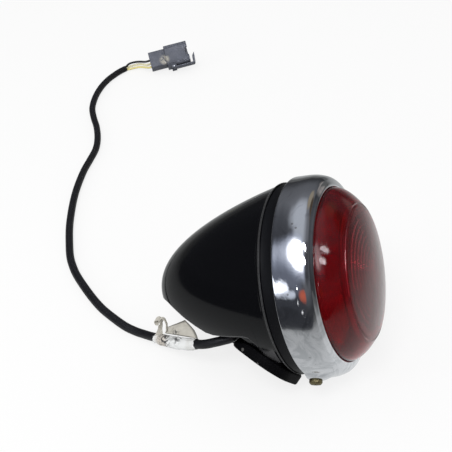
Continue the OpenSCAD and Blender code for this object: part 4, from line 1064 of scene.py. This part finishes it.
# %% Sleeve
SLEEVE_R = 2.5
sleeve_inside = [(-13.2, -8.9, 18.5), (-11.6, -9.2, 15), (-10.7, -9.9, 11), (-12.1, -10.9, 3.5)]
to_floor = [
    (-13.1, -32.8, 28.3), (-17, -34.3, 27.2), (-21.2, -35.2, 25.7), (-27.9, -35.1, 22.5),
    (-36.9, -31.4, 17.5), (-47.4, -27.3, 12.5), (-58.4, -22.4, 8), (-64.4, -19.7, 5.5),
    (-70.4, -17.1, 3.6), (-75.9, -15.3, 2.7),
]
on_floor = [
    (-83.4, -12.7), (-92.9, -7.7), (-103.4, -1.2), (-114.9, 8.3), (-128.9, 21.8), (-136.4, 30.8),
    (-142.4, 39.8), (-148.9, 52.8), (-155.9, 68.3), (-161.9, 84.3), (-167.4, 101.3), (-171.4, 116.8),
    (-174.9, 135.3), (-176.4, 149.8), (-178.4, 165.3), (-183.4, 180.3), (-190.9, 195.8),
    (-198.9, 208.8), (-206.4, 223.3), (-211.4, 241.3), (-213.4, 258.3), (-212.9, 271.8),
    (-210.9, 281.8), (-208.6, 289.3),
]
at_connector = [(-205.9, 294.7, 2.6)]
sleeve_outside = to_floor + [(x, y, SLEEVE_R) for x, y in on_floor] + at_connector


def tube_mesh(name, path, radius, sides=24):
    """A round tube along points in metres, closed at both ends."""
    bm = bmesh.new()
    rings = []
    side = None
    for i, point in enumerate(path):
        ahead = heading(path, i)
        if side is None:
            side = ahead.cross(Vector((0, 0, 1)) if abs(ahead.z) < 0.8 else Vector((1, 0, 0)))
        side = (side - side.dot(ahead) * ahead).normalized()
        other = ahead.cross(side)
        rings.append([
            bm.verts.new(point + radius * (math.cos(a) * side + math.sin(a) * other))
            for a in (math.tau * k / sides for k in range(sides))
        ])
    skin_rows(bm, rings, closed=True)
    bm.faces.new(rings[0])
    bm.faces.new(rings[-1])
    mesh = written(bm, name)
    smooth_by_angle(mesh, 50)
    return mesh


from_foot = [FOOT @ p for p in in_metres(sleeve_inside)]
sleeve_path = curve_through(from_foot + in_metres(sleeve_outside), 6)
mesh = tube_mesh("sleeve", sleeve_path, SLEEVE_R * MM)
sleeve = put("sleeve", mesh, sleeve_plastic, "lamp", "cord_sleeve")

# %% [markdown]
# Three thin wires show at both ends of the sleeve. Outside they hop to the connector; inside the
# shell they loop to the earth tag and to the two contacts behind the bulb.

# %% Wires
WIRE_R = 0.9
wire_routes = {
    "wire_black": [(-205.6, 295.4, 4.1), (-203.2, 297.4, 6.1), (-199.7, 298.5, 7.3), (-194.1, 298.6, 8.6),
                   (-188.3, 299, 8.9), (-184.9, 300.8, 9.4)],
    "wire_cream": [(-206.3, 295.8, 2.2), (-203.4, 296.8, 3.5), (-199.6, 297.7, 4.9), (-193.5, 298.5, 6.3),
                   (-186.5, 297.3, 7), (-183.6, 298.9, 7.5)],
    "wire_yellow": [(-204.7, 294.9, 1.6), (-200.6, 296.4, 2.4), (-193.6, 297.6, 4), (-184.4, 295.8, 5.3),
                    (-182.3, 297, 5.6)],
}
lead_routes = {
    "lead_cream": [(-34.6, -2.4, 1), (-41, -2.4, 1), (-46, -2.8, -0.5), (-48, -4, -5), (-43, -5.8, -9.2),
                   (-35.5, -7.4, -10.6), (-30.6, -9, -11.6), (-28.8, -9.5, -14), (-28.7, -9.5, -18)],
    "lead_yellow": [(-34.6, 2.4, 1), (-42, 2.3, 1), (-49, 1, -1.5), (-51, -1, -7), (-45, -4.5, -12),
                    (-37, -8, -13.6), (-32.4, -9.6, -14.6), (-30.9, -9.6, -17.5)],
    "lead_black": [(-30.9, 10, -28), (-33.6, 10, -25.7), (-36.5, 9, -22), (-37.5, 5, -18.5),
                   (-36, 0, -16.5), (-33.3, -4.6, -15), (-30.4, -7, -14.8), (-29.6, -7.7, -17.8)],
}
WIRE_FINISH = {"black": black_wire, "cream": cream_wire, "yellow": yellow_wire}
for name, route in {**wire_routes, **lead_routes}.items():
    points = in_metres(route)
    if name in lead_routes:
        points = [LAMP @ p for p in points]
    mesh = tube_mesh(name, curve_through(points, 8), WIRE_R * MM, 16)
    piece = put(name + "_tube", mesh, WIRE_FINISH[name.split("_")[1]], "lamp", name)

# %% [markdown]
# A paper label is wrapped round the sleeve. It is old and creased: the wrap hugs the sleeve, one
# end stands up as a stiff flap, and a torn strip curls over. Whatever was once printed on it is
# left as smudges, and shade is painted at the foot of the flap. Paper is thin, so each piece is a
# creased sheet that is given a little wall.

# %% Label
WRAP_POINTS, WRAP_STEP, WRAP_START = 45, 8.6, 200
WRAP_GAP, WRAP_OVERLAP, WRAP_SAG, WRAP_SLANT = 0.22, 0.16, 0.9, 3.0


def crumple(point, size, scale, seed):
    return size * noise.noise(Vector(point) * scale + Vector((seed, seed * 1.7, 0)))


def sheet_mesh(name, rows, thick, darkened_where=None):
    """A thin sheet through rows of points in metres; a rule may mark where it is darkened, by marks and by painted
    shade.
    """
    bm = bmesh.new()
    painted_light_and_marks = bm.verts.layers.float.new("painted_light_and_marks")
    grid = [[bm.verts.new(p) for p in row] for row in rows]
    if darkened_where:
        for i, row in enumerate(grid):
            for k, vert in enumerate(row):
                vert[painted_light_and_marks] = darkened_where(i / (len(grid) - 1), k / (len(row) - 1))
    skin_rows(bm, grid)
    mesh = shaped(written(bm, name), ("SOLIDIFY", {"thickness": thick * MM, "offset": 0.0}))
    smooth_by_angle(mesh, 55)
    return mesh


def wrap_rows():
    """The wrap goes a little more than once round the sleeve, creased, sagging below, and slanted
    at its far end."""
    route = [(-32.3, -33.3, 20.05), (-36.9, -31.4, 17.5), (-43.4, -28.9, 14.4), (-47.4, -27.3, 12.5),
             (-58.4, -22.4, 8), (-62.4, -20.6, 6.33)]
    path = curve_through(in_metres(route), 14)
    rows = []
    for i, point in enumerate(path):
        ahead = heading(path, i)
        side = ahead.cross(Vector((0, 0, 1))).normalized()
        top = side.cross(ahead)
        share = i / (len(path) - 1)
        row = []
        for k in range(WRAP_POINTS):
            a = math.radians(WRAP_START - WRAP_STEP * k)
            out = side * math.cos(a) + top * math.sin(a)
            crease = crumple((share * 5, math.cos(a) * 1.5, math.sin(a) * 1.5), 0.28 + 0.25 * share, 2.2, 3)
            fine = crumple((share * 14, math.cos(a) * 3, math.sin(a) * 3), 0.10, 2.0, 9)
            slip = crumple((math.cos(a), math.sin(a), 0), 0.9, 1.6, 5) if i in (0, len(path) - 1) else 0.0
            overlap = WRAP_OVERLAP * k / (WRAP_POINTS - 1)
            radius = SLEEVE_R + WRAP_GAP + overlap + max(-0.08, crease + fine)
            droop = math.sin(math.pi * min(1.0, share * 1.15)) ** 0.7
            sag = WRAP_SAG * max(0.0, -math.sin(a + 0.5)) * droop
            back = WRAP_SLANT * (0.5 + 0.5 * math.sin(a)) * max(0.0, (share - 0.8) / 0.2)
            row.append(point + out * (radius + sag) * MM + ahead * (slip - back) * MM)
        rows.append(row)
    return rows


def flap_rows():
    """A stiff four-cornered flap, bent a little along its length and bellied at its free end."""
    foot, low_end, high_end, tail = in_metres([
        (-55.6, -21.1, 11.3), (-54.6, -19.5, 14.8), (-43.6, -19.6, 22.6), (-32.6, -32.2, 23)])
    along = (tail - foot).normalized()
    out = (low_end - foot).cross(tail - foot).normalized()
    rows = []
    for i in range(37):
        u = i / 36
        low, high = foot.lerp(tail, u), low_end.lerp(high_end, u)
        row = []
        for k in range(25):
            v = k / 24
            sag = math.sin(math.pi * u) * 0.5 * v + crumple((u * 4, v * 3, 0), 0.35, 1.6, 7) * v
            belly = 2.2 * math.sin(math.pi * v) * u ** 6 + 0.8 * u ** 6 * (1 - v)
            row.append(low.lerp(high, v) + (out * (sag + 0.2) + along * belly) * MM)
        rows.append(row)
    return rows


def flap_edges_and_painted_shade(u, v):
    """Darker along the flap's upper edge and its free end, and painted shade in the crease at its foot."""
    upper = smooth_step(v, 0.88, 0.97)
    end = smooth_step(u, 0.93, 0.985) * 0.9
    foot = smooth_step(v, 0.10, 0.02) * smooth_step(u, 1.0, 0.7)
    return max(upper, end, foot)


def strip_rows():
    """A twisted stalk, a knot at its top, and a thin arch down to the flap. Each point of the way
    comes with the vector across the strip there."""
    way = [
        ((-58.7, -22.6, 10.2), (4.2, 0.4, 0.5)), ((-57.8, -22.1, 14.2), (2.8, 1.2, 0.2)),
        ((-57.2, -22.0, 18.2), (1.6, 2.0, 0.3)), ((-56.4, -22.0, 20.8), (0.8, 2.4, 0.8)),
        ((-57.4, -22.2, 22.8), (0.6, 2.4, 1.0)), ((-59.3, -22.3, 22.2), (0.6, 2.4, 1.0)),
        ((-59.8, -22.3, 20.3), (0.6, 2.4, 1.0)), ((-58.4, -22.3, 19.2), (0.6, 2.4, 1.0)),
        ((-57.3, -22.3, 20.4), (0.5, 2.2, 0.8)), ((-57.2, -22.3, 22.2), (0.3, 2.0, 0.5)),
        ((-55.6, -22.3, 23.9), (0.0, 1.6, 0.3)), ((-53.9, -22.6, 23.1), (0.0, 1.6, 0.2)),
        ((-53.1, -23.0, 20.6), (0.2, 1.6, 0.2)), ((-53.0, -23.3, 17.5), (0.4, 1.8, 0.2)),
        ((-53.3, -23.5, 14.8), (0.8, 2.0, 0.2)),
    ]
    points, across = (curve_through(in_metres(vectors), 6) for vectors in zip(*way))
    rows = []
    for i, (point, side) in enumerate(zip(points, across)):
        shift = crumple((i * 0.13, 0, 0), 0.25, 2.0, 4) * MM
        width = 1 - 0.25 * noise.noise(Vector((i * 0.21, 2, 0)))
        rows.append([point + side * width * (k / 6 - 0.5) + Vector((shift, 0, shift)) for k in range(7)])
    return rows


label = [
    put("label_wrap", sheet_mesh("wrap", wrap_rows(), 0.14), paper, "lamp", "label_band"),
    put("label_flap", sheet_mesh("flap", flap_rows(), 0.3, flap_edges_and_painted_shade), flap_paper, "lamp", "label_flag"),
    put("label_torn_strip", sheet_mesh("strip", strip_rows(), 0.3), flap_paper, "lamp", "label_strip"),
]
